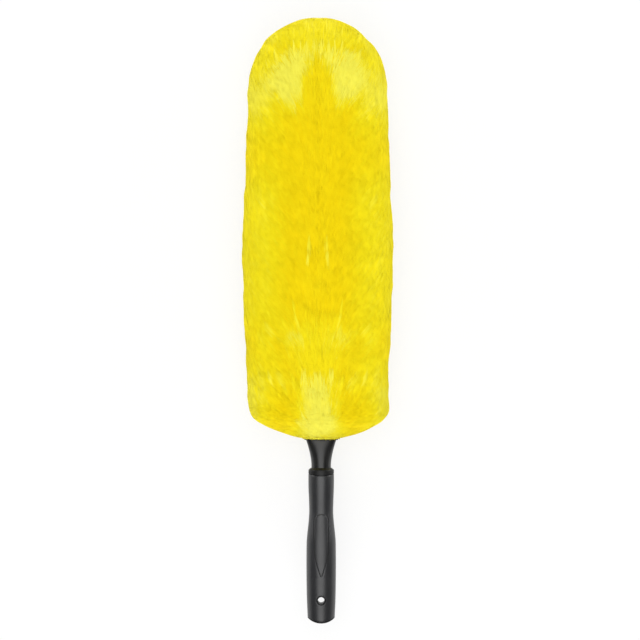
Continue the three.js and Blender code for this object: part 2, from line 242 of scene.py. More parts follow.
def rim(angle, half_width, half_depth, power=2.0):
    """Across the duster: x from the axis and z above it. Power 2 is an ellipse, 4 nearly a box."""
    c, s = np.cos(angle), np.sin(angle)
    x = half_width * np.sign(c) * np.abs(c) ** (2 / power)
    z = half_depth * np.sign(s) * np.abs(s) ** (2 / power)
    return x, z


def ring(y, half_width, half_depth, power, sides):
    """A ring of points across the duster at y, round the wand's axis."""
    x, z = rim(angles_round(sides), half_width, half_depth, power)
    return np.stack([x, np.full(sides, y), AXIS_Z + z], axis=1)


def skin(rings, poles=None):
    """Points and faces of a closed skin over rings of equal count."""
    rings = np.asarray(rings)
    rows, sides = rings.shape[:2]
    points = rings.reshape(-1, 3)
    steps = np.arange(rows if poles is None else rows - 1)
    row, side = np.meshgrid(steps, np.arange(sides), indexing="ij")
    up, on = (row + 1) % rows, (side + 1) % sides
    corners = [row * sides + side, up * sides + side, up * sides + on, row * sides + on]
    faces = [tuple(face) for face in np.stack(corners, axis=-1).reshape(-1, 4)]
    if poles is not None:
        first, last = len(points), len(points) + 1
        points = np.vstack([points, poles])
        top = (rows - 1) * sides
        for i in range(sides):
            on = (i + 1) % sides
            faces += [(first, i, on), (last, top + on, top + i)]
    return points, faces


# %% Pieces
SHARP_FROM = math.radians(38)


def place_piece(name, mesh, material, body, slot, node):
    """Puts a mesh in the scene, where it rides on a body and stands for one of the solids."""
    mesh.materials.append(material)
    piece = bpy.data.objects.new(name, mesh)
    bpy.context.collection.objects.link(piece)
    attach(piece, body)
    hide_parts(node)
    print(name, len(mesh.vertices), "points", len(mesh.polygons), "faces")
    return piece


def new_piece(name, points, faces, material, body, slot, node):
    """A piece from points and faces, turned right side out and shaded smooth."""
    mesh = bpy.data.meshes.new(name)
    mesh.from_pydata([tuple(p) for p in points], [], [tuple(int(i) for i in f) for f in faces])
    mesh.update()
    work = bmesh.new()
    work.from_mesh(mesh)
    bmesh.ops.recalc_face_normals(work, faces=work.faces)
    work.to_mesh(mesh)
    work.free()
    mesh.shade_smooth()
    mesh.set_sharp_from_angle(angle=SHARP_FROM)
    return place_piece(name, mesh, material, body, slot, node)


print("edges stay sharp from", round(math.degrees(SHARP_FROM)), "degrees")

# %% [markdown]
# ## Effects that several materials share
#
# Moulded plastic, rubber, yarn and fibre are all a little uneven: in colour where the dye or the
# flow of the plastic varied, in gloss where hands have rubbed it, and in relief from the grain of
# the mould or the twist of the yarn. Each effect is one node group with named sockets, and each
# material places it with its own values.


# %% A group with named sockets
def effect(name, inputs, output, output_kind):
    """A shader node group with named sockets: its tree, its input node and its output node."""
    group = bpy.data.node_groups.new(name, "ShaderNodeTree")
    for label, value in inputs.items():
        socket_kind = "NodeSocketColor" if isinstance(value, tuple) else "NodeSocketFloat"
        socket = group.interface.new_socket(label, in_out="INPUT", socket_type=socket_kind)
        socket.default_value = value
    group.interface.new_socket(output, in_out="OUTPUT", socket_type=output_kind)
    return group, add_node(group, "NodeGroupInput"), add_node(group, "NodeGroupOutput")


def drawn_noise(group, given, detail):
    """Noise at the group's Scale, drawn out along the duster by the group's Stretch."""
    place = add_node(group, "ShaderNodeTexCoord")
    inputs = {0: 1.0, 1: given.outputs["Stretch"]}
    squeeze = add_node(group, "ShaderNodeMath", inputs, operation="DIVIDE")
    inputs = {"X": 1.0, "Y": squeeze.outputs[0], "Z": 1.0}
    scale = add_node(group, "ShaderNodeCombineXYZ", inputs)
    inputs = {"Vector": place.outputs["Object"], "Scale": scale.outputs[0]}
    drawn = add_node(group, "ShaderNodeMapping", inputs)
    inputs = {"Vector": drawn.outputs[0], "Scale": given.outputs["Scale"], "Detail": detail}
    return add_node(group, "ShaderNodeTexNoise", inputs).outputs["Fac"]


# %% Clouded colour and fine grain
def uneven_colour():
    """Clouds of one colour in another."""
    inputs = {"Colour": (0.5, 0.5, 0.5, 1), "Cloud": (0.4, 0.4, 0.4, 1), "Scale": 80.0}
    inputs["Stretch"] = 1.0
    group, given, put = effect("uneven_colour", inputs, "Colour", "NodeSocketColor")
    inputs = {"Value": drawn_noise(group, given, 3.0), "From Min": 0.35, "From Max": 0.65}
    share = add_node(group, "ShaderNodeMapRange", inputs)
    mix = add_node(group, "ShaderNodeMix", {"Factor": share.outputs[0]}, data_type="RGBA")
    group.links.new(given.outputs["Colour"], mix.inputs["A"])
    group.links.new(given.outputs["Cloud"], mix.inputs["B"])
    group.links.new(mix.outputs["Result"], put.inputs["Colour"])
    return group


def fine_grain():
    """The relief of a grained mould or of fine yarn, as a height."""
    inputs = {"Scale": 2000.0, "Stretch": 1.0}
    group, given, put = effect("fine_grain", inputs, "Height", "NodeSocketFloat")
    group.links.new(drawn_noise(group, given, 2.0), put.inputs["Height"])
    return group


UNEVEN, GRAIN = uneven_colour(), fine_grain()
print("effects", UNEVEN.name, GRAIN.name)


# %% Rubbed gloss and rows of yarn
def rubbed_gloss():
    """A roughness that varies slowly, as where hands have rubbed a surface."""
    inputs = {"Smooth": 0.4, "Rough": 0.5, "Scale": 120.0}
    group, given, put = effect("rubbed_gloss", inputs, "Roughness", "NodeSocketFloat")
    place = add_node(group, "ShaderNodeTexCoord")
    inputs = {"Vector": place.outputs["Object"], "Scale": given.outputs["Scale"], "Detail": 4.0}
    cloud = add_node(group, "ShaderNodeTexNoise", inputs)
    inputs = {"Value": cloud.outputs["Fac"], "From Min": 0.3, "From Max": 0.7}
    inputs |= {"To Min": given.outputs["Smooth"], "To Max": given.outputs["Rough"]}
    level = add_node(group, "ShaderNodeMapRange", inputs)
    group.links.new(level.outputs[0], put.inputs["Roughness"])
    return group


def yarn_rows():
    """Stitches in rows across the duster and in columns along it, as a height."""
    inputs = {"Rows": 600.0, "Columns": 500.0}
    group, given, put = effect("yarn_rows", inputs, "Height", "NodeSocketFloat")
    place = add_node(group, "ShaderNodeTexCoord")
    axes = add_node(group, "ShaderNodeSeparateXYZ", {"Vector": place.outputs["Object"]})
    waves = []
    for axis, count in (("Y", "Rows"), ("X", "Columns")):
        inputs = {0: axes.outputs[axis], 1: given.outputs[count]}
        turns = add_node(group, "ShaderNodeMath", inputs, operation="MULTIPLY")
        inputs = {0: turns.outputs[0], 1: 2 * math.pi}
        angle = add_node(group, "ShaderNodeMath", inputs, operation="MULTIPLY")
        waves.append(add_node(group, "ShaderNodeMath", {0: angle.outputs[0]}, operation="SINE"))
    inputs = {0: waves[0].outputs[0], 1: waves[1].outputs[0]}
    both = add_node(group, "ShaderNodeMath", inputs, operation="ADD")
    group.links.new(both.outputs[0], put.inputs["Height"])
    return group


RUBBED, YARN = rubbed_gloss(), yarn_rows()
print("effects", RUBBED.name, YARN.name)

# %% [markdown]
# ## The hard finishes
#
# The grip is a dark grey matt moulding with a fine grain, and the inlay is the same grey in a
# softer rubber. The wand and the small parts are blacker and glossier. A shallow line runs down
# each side of the grip, where the two halves of its mould met: a band as high as the axis, which a
# Compare node picks out and the bump raises.

# %% Plastics and rubber
MOULD_LINE = 0.12 * MM
MOULD_LINE_RISE = 3.0
GRAIN_DEPTH = 0.05 * MM


def put_effect(tree, group, **values):
    inputs = {key.replace("_", " "): value for key, value in values.items()}
    return add_node(tree, "ShaderNodeGroup", inputs, node_tree=group)


def plastic(name, colour, cloud, gloss, grain, strength, shine, mould_line=False):
    """A moulded surface: its clouded colour, rubbed gloss and grain, and perhaps a mould line."""
    material, tree, shader = node_material(name)
    paint = put_effect(tree, UNEVEN, Colour=(*colour, 1), Cloud=(*cloud, 1), Scale=45.0, Stretch=4.0)
    rubbed = put_effect(tree, RUBBED, Smooth=gloss[0], Rough=gloss[1], Scale=90.0)
    relief = put_effect(tree, GRAIN, Scale=grain).outputs["Height"]
    if mould_line:
        place = add_node(tree, "ShaderNodeTexCoord")
        axes = add_node(tree, "ShaderNodeSeparateXYZ", {"Vector": place.outputs["Object"]})
        inputs = {0: axes.outputs["Z"], 1: AXIS_Z, 2: MOULD_LINE}
        on_line = add_node(tree, "ShaderNodeMath", inputs, operation="COMPARE")
        inputs = {0: on_line.outputs[0], 1: MOULD_LINE_RISE, 2: relief}
        relief = add_node(tree, "ShaderNodeMath", inputs, operation="MULTIPLY_ADD").outputs[0]
    inputs = {"Height": relief, "Strength": strength, "Distance": GRAIN_DEPTH}
    bump = add_node(tree, "ShaderNodeBump", inputs)
    tree.links.new(paint.outputs["Colour"], shader.inputs["Base Color"])
    tree.links.new(rubbed.outputs["Roughness"], shader.inputs["Roughness"])
    shader.inputs["Specular IOR Level"].default_value = shine
    tree.links.new(bump.outputs["Normal"], shader.inputs["Normal"])
    return material


# %% The four mouldings
matt_grip = plastic(
    "matt_grip",
    colour=(0.012, 0.0125, 0.0145),
    cloud=(0.008, 0.0083, 0.0095),
    gloss=(0.33, 0.39),
    grain=3200,
    strength=0.35,
    shine=0.7,
    mould_line=True,
)
soft_rubber = plastic(
    "soft_rubber",
    colour=(0.015, 0.0155, 0.017),
    cloud=(0.011, 0.0115, 0.013),
    gloss=(0.35, 0.41),
    grain=4500,
    strength=0.3,
    shine=0.7,
)
satin_wand = plastic(
    "satin_wand",
    colour=(0.004, 0.0042, 0.004),
    cloud=(0.003, 0.003, 0.003),
    gloss=(0.28, 0.33),
    grain=1500,
    strength=0.15,
    shine=0.55,
)
satin_black = plastic(
    "satin_black",
    colour=(0.002, 0.002, 0.0022),
    cloud=(0.0015, 0.0015, 0.0017),
    gloss=(0.42, 0.5),
    grain=1500,
    strength=0.15,
    shine=0.35,
)
print("plastics", [material.name for material in (matt_grip, soft_rubber, satin_wand, satin_black)])

# %% [markdown]
# ## The yarns
#
# The elastic is a tight weave of black yarn over rubber, and the backing a looser knit in the
# fibre's own yellow. Both are matt cloth with rows and columns of stitches. They could be modelled
# thread by thread, but they are seen only in the mouth and with the sleeve pulled off, so bump and
# a clouded colour are enough.

# %% Elastic and knitted cloth
STITCH_DEPTH = 0.2 * MM
FUZZ_SHARE = 1.5


def yarn_cloth(name, colour, cloud, rows, columns, strength):
    """Cloth of rows and columns of stitches in a matt yarn."""
    material, tree, shader = node_material(name)
    paint = put_effect(tree, UNEVEN, Colour=(*colour, 1), Cloud=(*cloud, 1), Scale=400.0, Stretch=1.0)
    stitches = put_effect(tree, YARN, Rows=rows, Columns=columns)
    fuzz = put_effect(tree, GRAIN, Scale=5000.0)
    inputs = {0: fuzz.outputs["Height"], 1: FUZZ_SHARE, 2: stitches.outputs["Height"]}
    height = add_node(tree, "ShaderNodeMath", inputs, operation="MULTIPLY_ADD")
    inputs = {"Height": height.outputs[0], "Strength": strength, "Distance": STITCH_DEPTH}
    bump = add_node(tree, "ShaderNodeBump", inputs)
    tree.links.new(paint.outputs["Colour"], shader.inputs["Base Color"])
    tree.links.new(bump.outputs["Normal"], shader.inputs["Normal"])
    shader.inputs["Roughness"].default_value = 0.9
    shader.inputs["Specular IOR Level"].default_value = 0.2
    return material


black_elastic = yarn_cloth(
    "black_elastic",
    colour=(0.012, 0.011, 0.009),
    cloud=(0.007, 0.007, 0.006),
    rows=900,
    columns=700,
    strength=0.7,
)
yellow_knit = yarn_cloth(
    "yellow_knit",
    colour=(0.80, 0.60, 0.03),
    cloud=(0.70, 0.50, 0.02),
    rows=700,
    columns=600,
    strength=0.6,
)
print("cloths", black_elastic.name, yellow_knit.name)

# %% [markdown]
# ## Tubes with windows
#
# The grip, the collar and the wand are one line of mouldings on one axis, and each is a tube of
# changing section. The grip's tube has a hole and a recess, and the wand's has long windows. A
# boolean cut would leave thin faces and a hard edge there, so the tube is made with its windows:
# cells of its grid are left out, and a ring of new cells closes the gap to the window's outline,
# turns over a soft lip and goes in.

# %% Places on a tube
TINY = 1e-12


def unit(vectors):
    return vectors / (np.linalg.norm(vectors, axis=-1, keepdims=True) + TINY)


def spaced(from_y, to_y, step):
    return np.linspace(from_y, to_y, max(2, round((to_y - from_y) / step)))


def on_side(x, y, section, facing, sink):
    """How high a tube's front or back lies over x and y, sunk by sink, at most to its middle."""
    if math.isinf(sink):
        return AXIS_Z
    half_width, half_depth, power = section(y)
    share = np.clip(np.abs(x) / (half_width - sink), 0, 1)
    return AXIS_Z + facing * (half_depth - sink) * (1 - share**power) ** (1 / power)


def sunk_ring(xy, section, facing, sink):
    """Those places as a ring of points on the tube's front or back, sunk by sink."""
    return np.column_stack([xy, [on_side(x, y, section, facing, sink) for x, y in xy]])


def to_spine(outline, spine):
    """The point nearest to each point of the outline on a stretch of the middle line."""
    return np.column_stack([np.zeros(len(outline)), np.clip(outline[:, 1], *spine)])


def join_ring(points, last, ring_points):
    """Add a ring of points and the faces between it and the last ring, which it then replaces."""
    first, count = len(points), len(last)
    points.extend(ring_points)
    new = [first + i for i in range(count)]
    faces = [(last[i], last[(i + 1) % count], new[(i + 1) % count], new[i]) for i in range(count)]
    last[:] = new
    return faces


# %% Windows
# How far outside the outline each ring of a lip lies, and how deep, in mm
LIP = [(0.42, 0.0), (0.2, 0.04), (0.06, 0.16), (0.0, 0.4)]
BLEND_SHARES = (0.4, 0.75)
FLOOR_SHARES = (0.5, 1.0)
WINDOW_MARGIN = 2.2 * MM


def open_window(points, rings, stations, section, window, left_out):
    """Leave out a block of cells, and fill it up to the window's outline and down its wall."""
    outline, facing = window["outline"], window["facing"]
    sides = rings.shape[1]
    middle = sides // 4 if facing > 0 else 3 * sides // 4
    margin = window.get("margin", WINDOW_MARGIN)
    wide = np.abs(outline[:, 0]).max() + margin
    outer = [j for j, (y, grow) in enumerate(stations) if grow == 0]
    start = max(j for j in outer if stations[j][0] < outline[:, 1].min() - margin)
    end = min(j for j in outer if stations[j][0] > outline[:, 1].max() + margin)
    half = next(n for n in range(2, sides // 4) if abs(rings[start, middle + n, 0]) > wide)
    columns = range(middle - half, middle + half + 1)
    left_out.update((row, i) for row in range(start, end) for i in columns[:-1])
    edge = [(start, i) for i in columns] + [(j, columns[-1]) for j in range(start + 1, end)]
    edge += [(end, i) for i in reversed(columns)] + [(j, columns[0]) for j in range(end - 1, start, -1)]

    edge_xy = np.array([rings[j, i, :2] for j, i in edge])
    away = np.linalg.norm(edge_xy[:, None] - outline[None], axis=2)
    nearest = outline[away.argmin(axis=1)]
    outward = unit(edge_xy - nearest)
    lip_xy = nearest + outward * LIP[0][0] * MM
    rows = [(edge_xy + (lip_xy - edge_xy) * share, 0) for share in BLEND_SHARES]
    rows += [(nearest + outward * offset * MM, sink * MM) for offset, sink in LIP + window["wall"]]
    if "spine" in window:
        inward = to_spine(nearest, window["spine"]) - nearest
        rows += [(nearest + inward * share, rows[-1][1]) for share in FLOOR_SHARES]
    faces, last = [], [j * sides + i for j, i in edge]
    for xy, sink in rows:
        faces += join_ring(points, last, sunk_ring(xy, section, facing, sink))
    return faces


print("a window's lip is", LIP[0][0], "mm wide and", LIP[-1][1], "mm deep")


# %% Tubes
def tube(stations, section, sides, windows=(), shift=None):
    """Points and faces of a tube. Each station is a y and how much its section is grown there."""
    rings = []
    for y, grow in stations:
        half_width, half_depth, power = section(y)
        station_ring = ring(y, half_width + grow, half_depth + grow, power, sides)
        if shift:
            station_ring[:, 1] += shift(station_ring[:, 0], y)
        rings.append(station_ring)
    rings = np.array(rings)
    points = list(rings.reshape(-1, 3))
    left_out, faces = set(), []
    for window in windows:
        faces += open_window(points, rings, stations, section, window, left_out)
    for row in range(len(rings) - 1):
        for i in range(sides):
            if (row, i) not in left_out:
                on = (i + 1) % sides
                low, high = row * sides, (row + 1) * sides
                faces.append((low + i, high + i, high + on, low + on))
    return points, faces


# %% [markdown]
# ## The grip
#
# The real grip is a hollow moulding with a belly for the palm and a waist where the fingers end. It
# could be turned as a profile, but its end is arched for the cap and its top is hollowed for the
# collar, so its rings are bent there. Its widths are a few that were measured in the photograph,
# with a smooth curve through them.

# %% The grip's outline
GRIP_END_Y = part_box("end_cap")[0].y
GRIP_TOP_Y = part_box("grip_shell")[1].y
GRIP_LENGTH = GRIP_TOP_Y - GRIP_END_Y
GRIP_AT = np.array([0, 0.23, 0.55, 0.73, 0.82, 0.93, 1]) * GRIP_LENGTH
GRIP_HALF = np.array([27.2, 29.2, 29.2, 24.4, 24.4, 25.6, 25.6]) / 2 * MM
GRIP_DEPTH_SHARE = 0.95
GRIP_WALL = 2.8 * MM
CAP_ARCH = 5.2 * MM
CAP_THICKNESS = 1.5 * MM
ARCH_RADIUS = (GRIP_HALF[0] ** 2 + CAP_ARCH**2) / (2 * CAP_ARCH)
ARCH_OVER = 16 * MM
COLLAR_SAG = 1.9 * MM
SAG_OVER = 14 * MM


def smooth_curve(x, at, values):
    """A smooth curve through points at uneven places, with even parameter between them."""
    span = np.clip(np.searchsorted(at, x, side="right") - 1, 0, len(at) - 2)
    share = (x - at[span]) / (at[span + 1] - at[span])
    before, first = values[np.maximum(span - 1, 0)], values[span]
    second, after = values[span + 1], values[np.minimum(span + 2, len(at) - 1)]
    slope_in, slope_out = (second - before) / 2, (after - first) / 2
    cubic = (2 * first - 2 * second + slope_in + slope_out) * share**3
    square = (-3 * first + 3 * second - 2 * slope_in - slope_out) * share**2
    return cubic + square + slope_in * share + first


def grip_section(y):
    half = smooth_curve(np.clip(y - GRIP_END_Y, 0, GRIP_LENGTH), GRIP_AT, GRIP_HALF)
    return half, half * GRIP_DEPTH_SHARE, 2.0


def arch(x, inset=0.0):
    """How far the arched end stands up from the grip's lowest point at x, drawn in by inset."""
    reach = ARCH_RADIUS - inset
    return ARCH_RADIUS - np.sqrt(reach**2 - np.minimum(np.abs(x), GRIP_HALF[0]) ** 2)


def grip_shift(x, y):
    """The grip's end follows the arch, and its top dips in the middle of front and back."""
    near_end = np.clip(1 - (y - GRIP_END_Y) / ARCH_OVER, 0, 1)
    near_top = np.clip(1 - (GRIP_TOP_Y - y) / SAG_OVER, 0, 1)
    sag = COLLAR_SAG * (x / GRIP_HALF[-1]) ** 2
    return (arch(x) - arch(0)) * near_end + sag * near_top


print(f"grip {GRIP_LENGTH / MM:.1f} mm long, {2 * GRIP_HALF.max() / MM:.1f} mm at its belly")

# %% The drop of the thumb inlay, and round and long holes
INLAY_POINT_Y, INLAY_TOP_Y = (corner.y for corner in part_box("thumb_inlay"))
INLAY_HALF = 14.5 / 2 * MM
INLAY_SHOULDER = 13.2 / 2 * MM
INLAY_SHOULDER_SHARE = 0.63
INLAY_BOW_SHARE = 0.8
INLAY_POINT_RADIUS = 0.6 * MM
INLAY_SPINE = (INLAY_POINT_Y + 3 * MM, INLAY_TOP_Y - INLAY_HALF)


def arc_points(y, radius, turn):
    return np.stack([radius * np.cos(turn), y + radius * np.sin(turn)], axis=1)


def drop_outline(grow=0.0, count=6000):
    """A round top, sides that draw in a little, and a point towards the grip's end."""
    point_y = INLAY_POINT_Y + INLAY_POINT_RADIUS
    point_radius = INLAY_POINT_RADIUS + grow
    shoulder_y = INLAY_TOP_Y - INLAY_SHOULDER_SHARE * (INLAY_TOP_Y - INLAY_POINT_Y)
    shoulder = np.array([INLAY_SHOULDER + grow, shoulder_y])
    top_turn = np.linspace(0, math.pi / 2, count // 8)[::-1]
    top = arc_points(INLAY_TOP_Y - INLAY_HALF, INLAY_HALF + grow, top_turn)
    t = np.linspace(0, 1, count // 3)[:, None]
    side = top[-1] * (1 - t) + shoulder * t
    bow = np.array([shoulder[0] * INLAY_BOW_SHARE, (shoulder_y + point_y) / 2])
    point = np.array([point_radius, point_y])
    bend = shoulder * (1 - t) ** 2 + 2 * bow * t * (1 - t) + point * t**2
    tip = arc_points(point_y, point_radius, np.linspace(0, -math.pi / 2, count // 20))
    right = np.vstack([top, side[1:], bend[1:], tip[1:]])
    left = right[::-1] * [-1, 1]
    return np.vstack([right, left[1:-1]])


def round_outline(y, radius, stretch=0.0, count=2400):
    """A circle at y, or with a stretch a long hole with round ends."""
    turn = angles_round(count)
    outline = arc_points(y, radius, turn)
    outline[:, 1] += np.sign(np.sin(turn)) * stretch
    return outline


print("inlay's outline has", len(drop_outline()), "points")

# %% Grip
SEAM = 0.3 * MM
EDGE_ROUND = 0.35 * MM
EDGE_SOFT = 0.1 * MM
PLUG_SEAT = 14 * MM
SOCKET_WALL = 2.4 * MM
SOCKET_DEPTH = 12 * MM
RECESS_WALL = [(0.0, 1.0), (0.0, 1.5)]
GRIP_STEP = 1.3 * MM
GRIP_SIDES = 128

eyelet_low, eyelet_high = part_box("hang_eyelet")
HOLE_Y = (eyelet_low.y + eyelet_high.y) / 2
EYELET_RADIUS = (eyelet_high.x - eyelet_low.x) / 2


def grip():
    """The tube from inside its lower end over the outside into the collar's socket."""
    low_y, top_y = GRIP_END_Y + CAP_THICKNESS + SEAM, GRIP_TOP_Y
    low_end = [(low_y + PLUG_SEAT, -GRIP_WALL), (low_y, -GRIP_WALL)]
    low_end += [(low_y, -EDGE_ROUND), (low_y + EDGE_SOFT, -EDGE_SOFT)]
    outside = [(y, 0) for y in spaced(low_y + EDGE_ROUND, top_y - EDGE_ROUND, GRIP_STEP)]
    top_end = [(top_y - EDGE_SOFT, -EDGE_SOFT), (top_y, -EDGE_ROUND)]
    top_end += [(top_y, -SOCKET_WALL), (top_y - SOCKET_DEPTH, -SOCKET_WALL)]
    hole = {"outline": round_outline(HOLE_Y, EYELET_RADIUS + SEAM), "wall": [(0.0, GRIP_WALL / MM)]}
    thumb = {"outline": drop_outline(SEAM), "wall": RECESS_WALL, "spine": INLAY_SPINE}
    windows = [hole | {"facing": 1}, hole | {"facing": -1}, thumb | {"facing": 1}]
    stations = low_end + outside + top_end
    points, faces = tube(stations, grip_section, GRIP_SIDES, windows, grip_shift)
    return new_piece("grip", points, faces, matt_grip, "handle", "grip_plastic", "grip_shell")


grip()

# %% [markdown]
# ## The thumb inlay
#
# A drop-shaped pad of soft rubber lies in the recess and stands a hair proud, with a fine dark gap
# round it. It could be cut out of the grip's own skin, but then the gap would have no depth. So it
# is its own pad: the drop's outline goes up its side, over a soft edge and in to its middle line.

# %% Thumb inlay
# How far in from the outline each ring of the edge lies, and how deep, in mm
PAD_EDGE = [(0, 1.2), (0, 0.3), (0.08, 0.05), (0.3, -0.12), (0.7, -0.2)]
PAD_FACE_SHARES = (0.2, 0.4, 0.6, 0.8, 1)
PAD_SIDES = 180


def thumb_pad():
    outline = drop_outline()
    outline = outline[:: len(outline) // PAD_SIDES]
    spine = to_spine(outline, INLAY_SPINE)
    inward = unit(spine - outline)
    rows = [(outline + inward * inset * MM, sink * MM) for inset, sink in PAD_EDGE]
    edge, sink = rows[-1]
    rows += [(edge + (spine - edge) * share, sink) for share in PAD_FACE_SHARES]
    rings = [sunk_ring(xy, grip_section, 1, sink) for xy, sink in rows]
    points, faces, last = list(rings[0]), [], list(range(len(outline)))
    for ring_points in rings[1:]:
        faces += join_ring(points, last, ring_points)
    return new_piece("thumb_pad", points, faces, soft_rubber, "handle", "inlay_rubber", "thumb_inlay")


thumb_pad()

# %% [markdown]
# ## The liner of the hanging hole
#
# A black tube lines the hole, so that a hook doesn't wear the grip. Its lips must follow the grip's
# curve, so each ring of the liner takes its height from the grip's own surface, front and back.

# %% Liner of the hanging hole
LINER_SIDES = 96
LINER_WALL = 1.2 * MM
LINER_SEAT_GAP = 0.02 * MM


def hole_liner():
    """Rings from inside the front over both lips, through the grip, to inside the back."""
    outer, inner = EYELET_RADIUS, EYELET_RADIUS - LINER_WALL
    seat = outer + SEAM - LINER_SEAT_GAP
    # Each ring's radius in metres, and how far it stands proud of the grip in mm
    lip = [(seat, -2.6), (seat, -0.8), (outer, -0.8), (outer, 0.02), (outer - 0.13 * MM, 0.15)]
    lip += [((outer + inner) / 2, 0.2), (inner + 0.12 * MM, 0.15), (inner, 0.02), (inner, -0.2)]
    rings = []
    for facing, profile in ((1, lip), (-1, reversed(lip))):
        for radius, proud in profile:
            circle = arc_points(HOLE_Y, radius, angles_round(LINER_SIDES))
            rings.append(sunk_ring(circle, grip_section, facing, -proud * MM))
    return new_piece("hole_liner", *skin(rings), satin_black, "handle", "black_plastic", "hang_eyelet")


hole_liner()

# %% [markdown]
# ## The end cap
#
# The grip ends in a thick plate that arches from side to side, with a fine seam above it and a plug
# inside the grip. A flat disc would miss the arch, which shows as the round lower end in the
# photograph, so its rings lie on the arch and turn over a round rim.

# %% End cap
CAP_FACE_SHARES = (0.25, 0.5, 0.7, 0.85, 0.94)
CAP_RIM = 0.5 * MM
CAP_RIM_STEPS = 6
CAP_BACK_ROUND = 0.2 * MM
PLUG_LENGTH = 8 * MM


def end_cap():
    """Rings from the middle of the arched face over its round rim and in to the plug."""
    half, depth, power = grip_section(GRIP_END_Y)
    rings = []

    def add_ring(grow, inset, beyond=0.0):
        rings.append(ring(GRIP_END_Y, half + grow, depth + grow, power, GRIP_SIDES))
        rings[-1][:, 1] += arch(rings[-1][:, 0], inset) + beyond

    for share in CAP_FACE_SHARES:
        add_ring(-half * (1 - share), 0)
    for turn in np.linspace(0, math.pi / 2, CAP_RIM_STEPS):
        add_ring(-CAP_RIM * (1 - math.sin(turn)), CAP_RIM * (1 - math.cos(turn)))
    add_ring(0, CAP_THICKNESS - CAP_BACK_ROUND)
    add_ring(-CAP_BACK_ROUND, CAP_THICKNESS)
    add_ring(-GRIP_WALL - SEAM, CAP_THICKNESS)
    add_ring(-GRIP_WALL - SEAM, CAP_THICKNESS, PLUG_LENGTH)
    poles = [(0, GRIP_END_Y, AXIS_Z), (0, rings[-1][:, 1].mean(), AXIS_Z)]
    return new_piece("cap", *skin(rings, poles), satin_black, "handle", "black_plastic", "end_cap")


end_cap()

# %% [markdown]
# ## The collar
#
# A ring joins the grip to the neck: its wide foot is as deep and as wide as the grip and sags with
# its top, and a round shoulder draws in to the neck. It is turned from one profile, whose sections
# change from the grip's ellipse to the neck's circle.

# %% Collar
COLLAR_LOW_Y, COLLAR_TOP_Y = (corner.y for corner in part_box("collar_ring"))
COLLAR_LENGTH = COLLAR_TOP_Y - COLLAR_LOW_Y
NECK_RADIUS = 9.8 * MM
COLLAR_LIP = 1.0 * MM
SHOULDER_LENGTH = 4.2 * MM
SHOULDER_CURVE = 3.6 * MM
SHOULDER_TURNS = np.linspace(0.15, 1, 8)
SHOULDER_ROUND = (2.2, 0.75)
FOOT_SHARE = 0.6
FOOT_DRAWN_IN = 0.08 * MM
TOP_SOFT = 0.15 * MM
TOP_ROUND = 0.4 * MM


def collar():
    bore = NECK_RADIUS + SEAM
    wide, narrow = GRIP_HALF[-1], NECK_RADIUS + COLLAR_LIP
    shoulder = COLLAR_LENGTH - SHOULDER_LENGTH
    profile = [(0, wide - EDGE_ROUND), (EDGE_SOFT, wide - EDGE_SOFT), (EDGE_ROUND, wide)]
    profile += [(shoulder * FOOT_SHARE, wide), (shoulder, wide - FOOT_DRAWN_IN)]
    for turn in SHOULDER_TURNS:
        left = (1 - turn ** SHOULDER_ROUND[0]) ** SHOULDER_ROUND[1]
        profile.append((shoulder + SHOULDER_CURVE * turn, narrow + (wide - narrow) * left))
    profile += [(COLLAR_LENGTH - TOP_SOFT, narrow - TOP_SOFT), (COLLAR_LENGTH, narrow - TOP_ROUND)]
    profile += [(COLLAR_LENGTH, bore), (0, bore)]
    rings = []
    for up, radius in profile:
        flat = 1 - (1 - GRIP_DEPTH_SHARE) * np.clip((radius - narrow) / (wide - narrow), 0, 1)
        rings.append(ring(COLLAR_LOW_Y + up, radius, radius * flat, 2.0, GRIP_SIDES))
        if radius > bore:
            rings[-1][:, 1] += COLLAR_SAG * (rings[-1][:, 0] / wide) ** 2 * (1 - up / COLLAR_LENGTH)
    return new_piece("collar", *skin(rings), satin_black, "handle", "black_plastic", "collar_ring")


collar()

# %% [markdown]
# ## The wand
#
# One moulding: a round spigot in the grip, a neck that flares and flattens, and a flat blade with
# long windows, which save plastic and let it bend. Only the neck shows in the photograph. One
# function gives its section at any height, and the sleeve's cloth and elastic use it too.

# %% The wand's section
BLADE_HALF = 15.7 * MM
BLADE_THICK_HALF = 3 * MM
FLARE_SHAPE = 1.6
FLARE_Y = COLLAR_TOP_Y + 3 * MM
FLAT_Y = MOUTH_Y + 30 * MM
TIP_CENTRE_Y = BLADE_TIP_Y - BLADE_HALF


def smooth_step(share):
    share = np.clip(share, 0, 1)
    return share * share * (3 - 2 * share)


def round_tip(y, grow):
    """The share of its width that the blade, grown all round, has left at y."""
    return np.sqrt(1 - np.clip((y - TIP_CENTRE_Y) / (BLADE_HALF + grow), 0, 1) ** 2)


def wand_section(y, grow=0.0):
    """Half width, half depth and power of the wand at y: round neck, flare, flat blade, tip."""
    flare = np.clip((y - FLARE_Y) / (MOUTH_Y - FLARE_Y), 0, 1) ** FLARE_SHAPE
    flat = smooth_step((y - FLARE_Y) / (FLAT_Y - FLARE_Y))
    width = (NECK_RADIUS + (BLADE_HALF - NECK_RADIUS) * flare + grow) * round_tip(y, grow)
    depth = NECK_RADIUS + (BLADE_THICK_HALF - NECK_RADIUS) * flat + grow
    return width, depth, 2 + 2 * flat * flat


print("half width at the neck, mouth and blade, mm:", end=" ")
print([round(float(wand_section(y)[0]) / MM, 1) for y in (FLARE_Y, MOUTH_Y, FLAT_Y)])

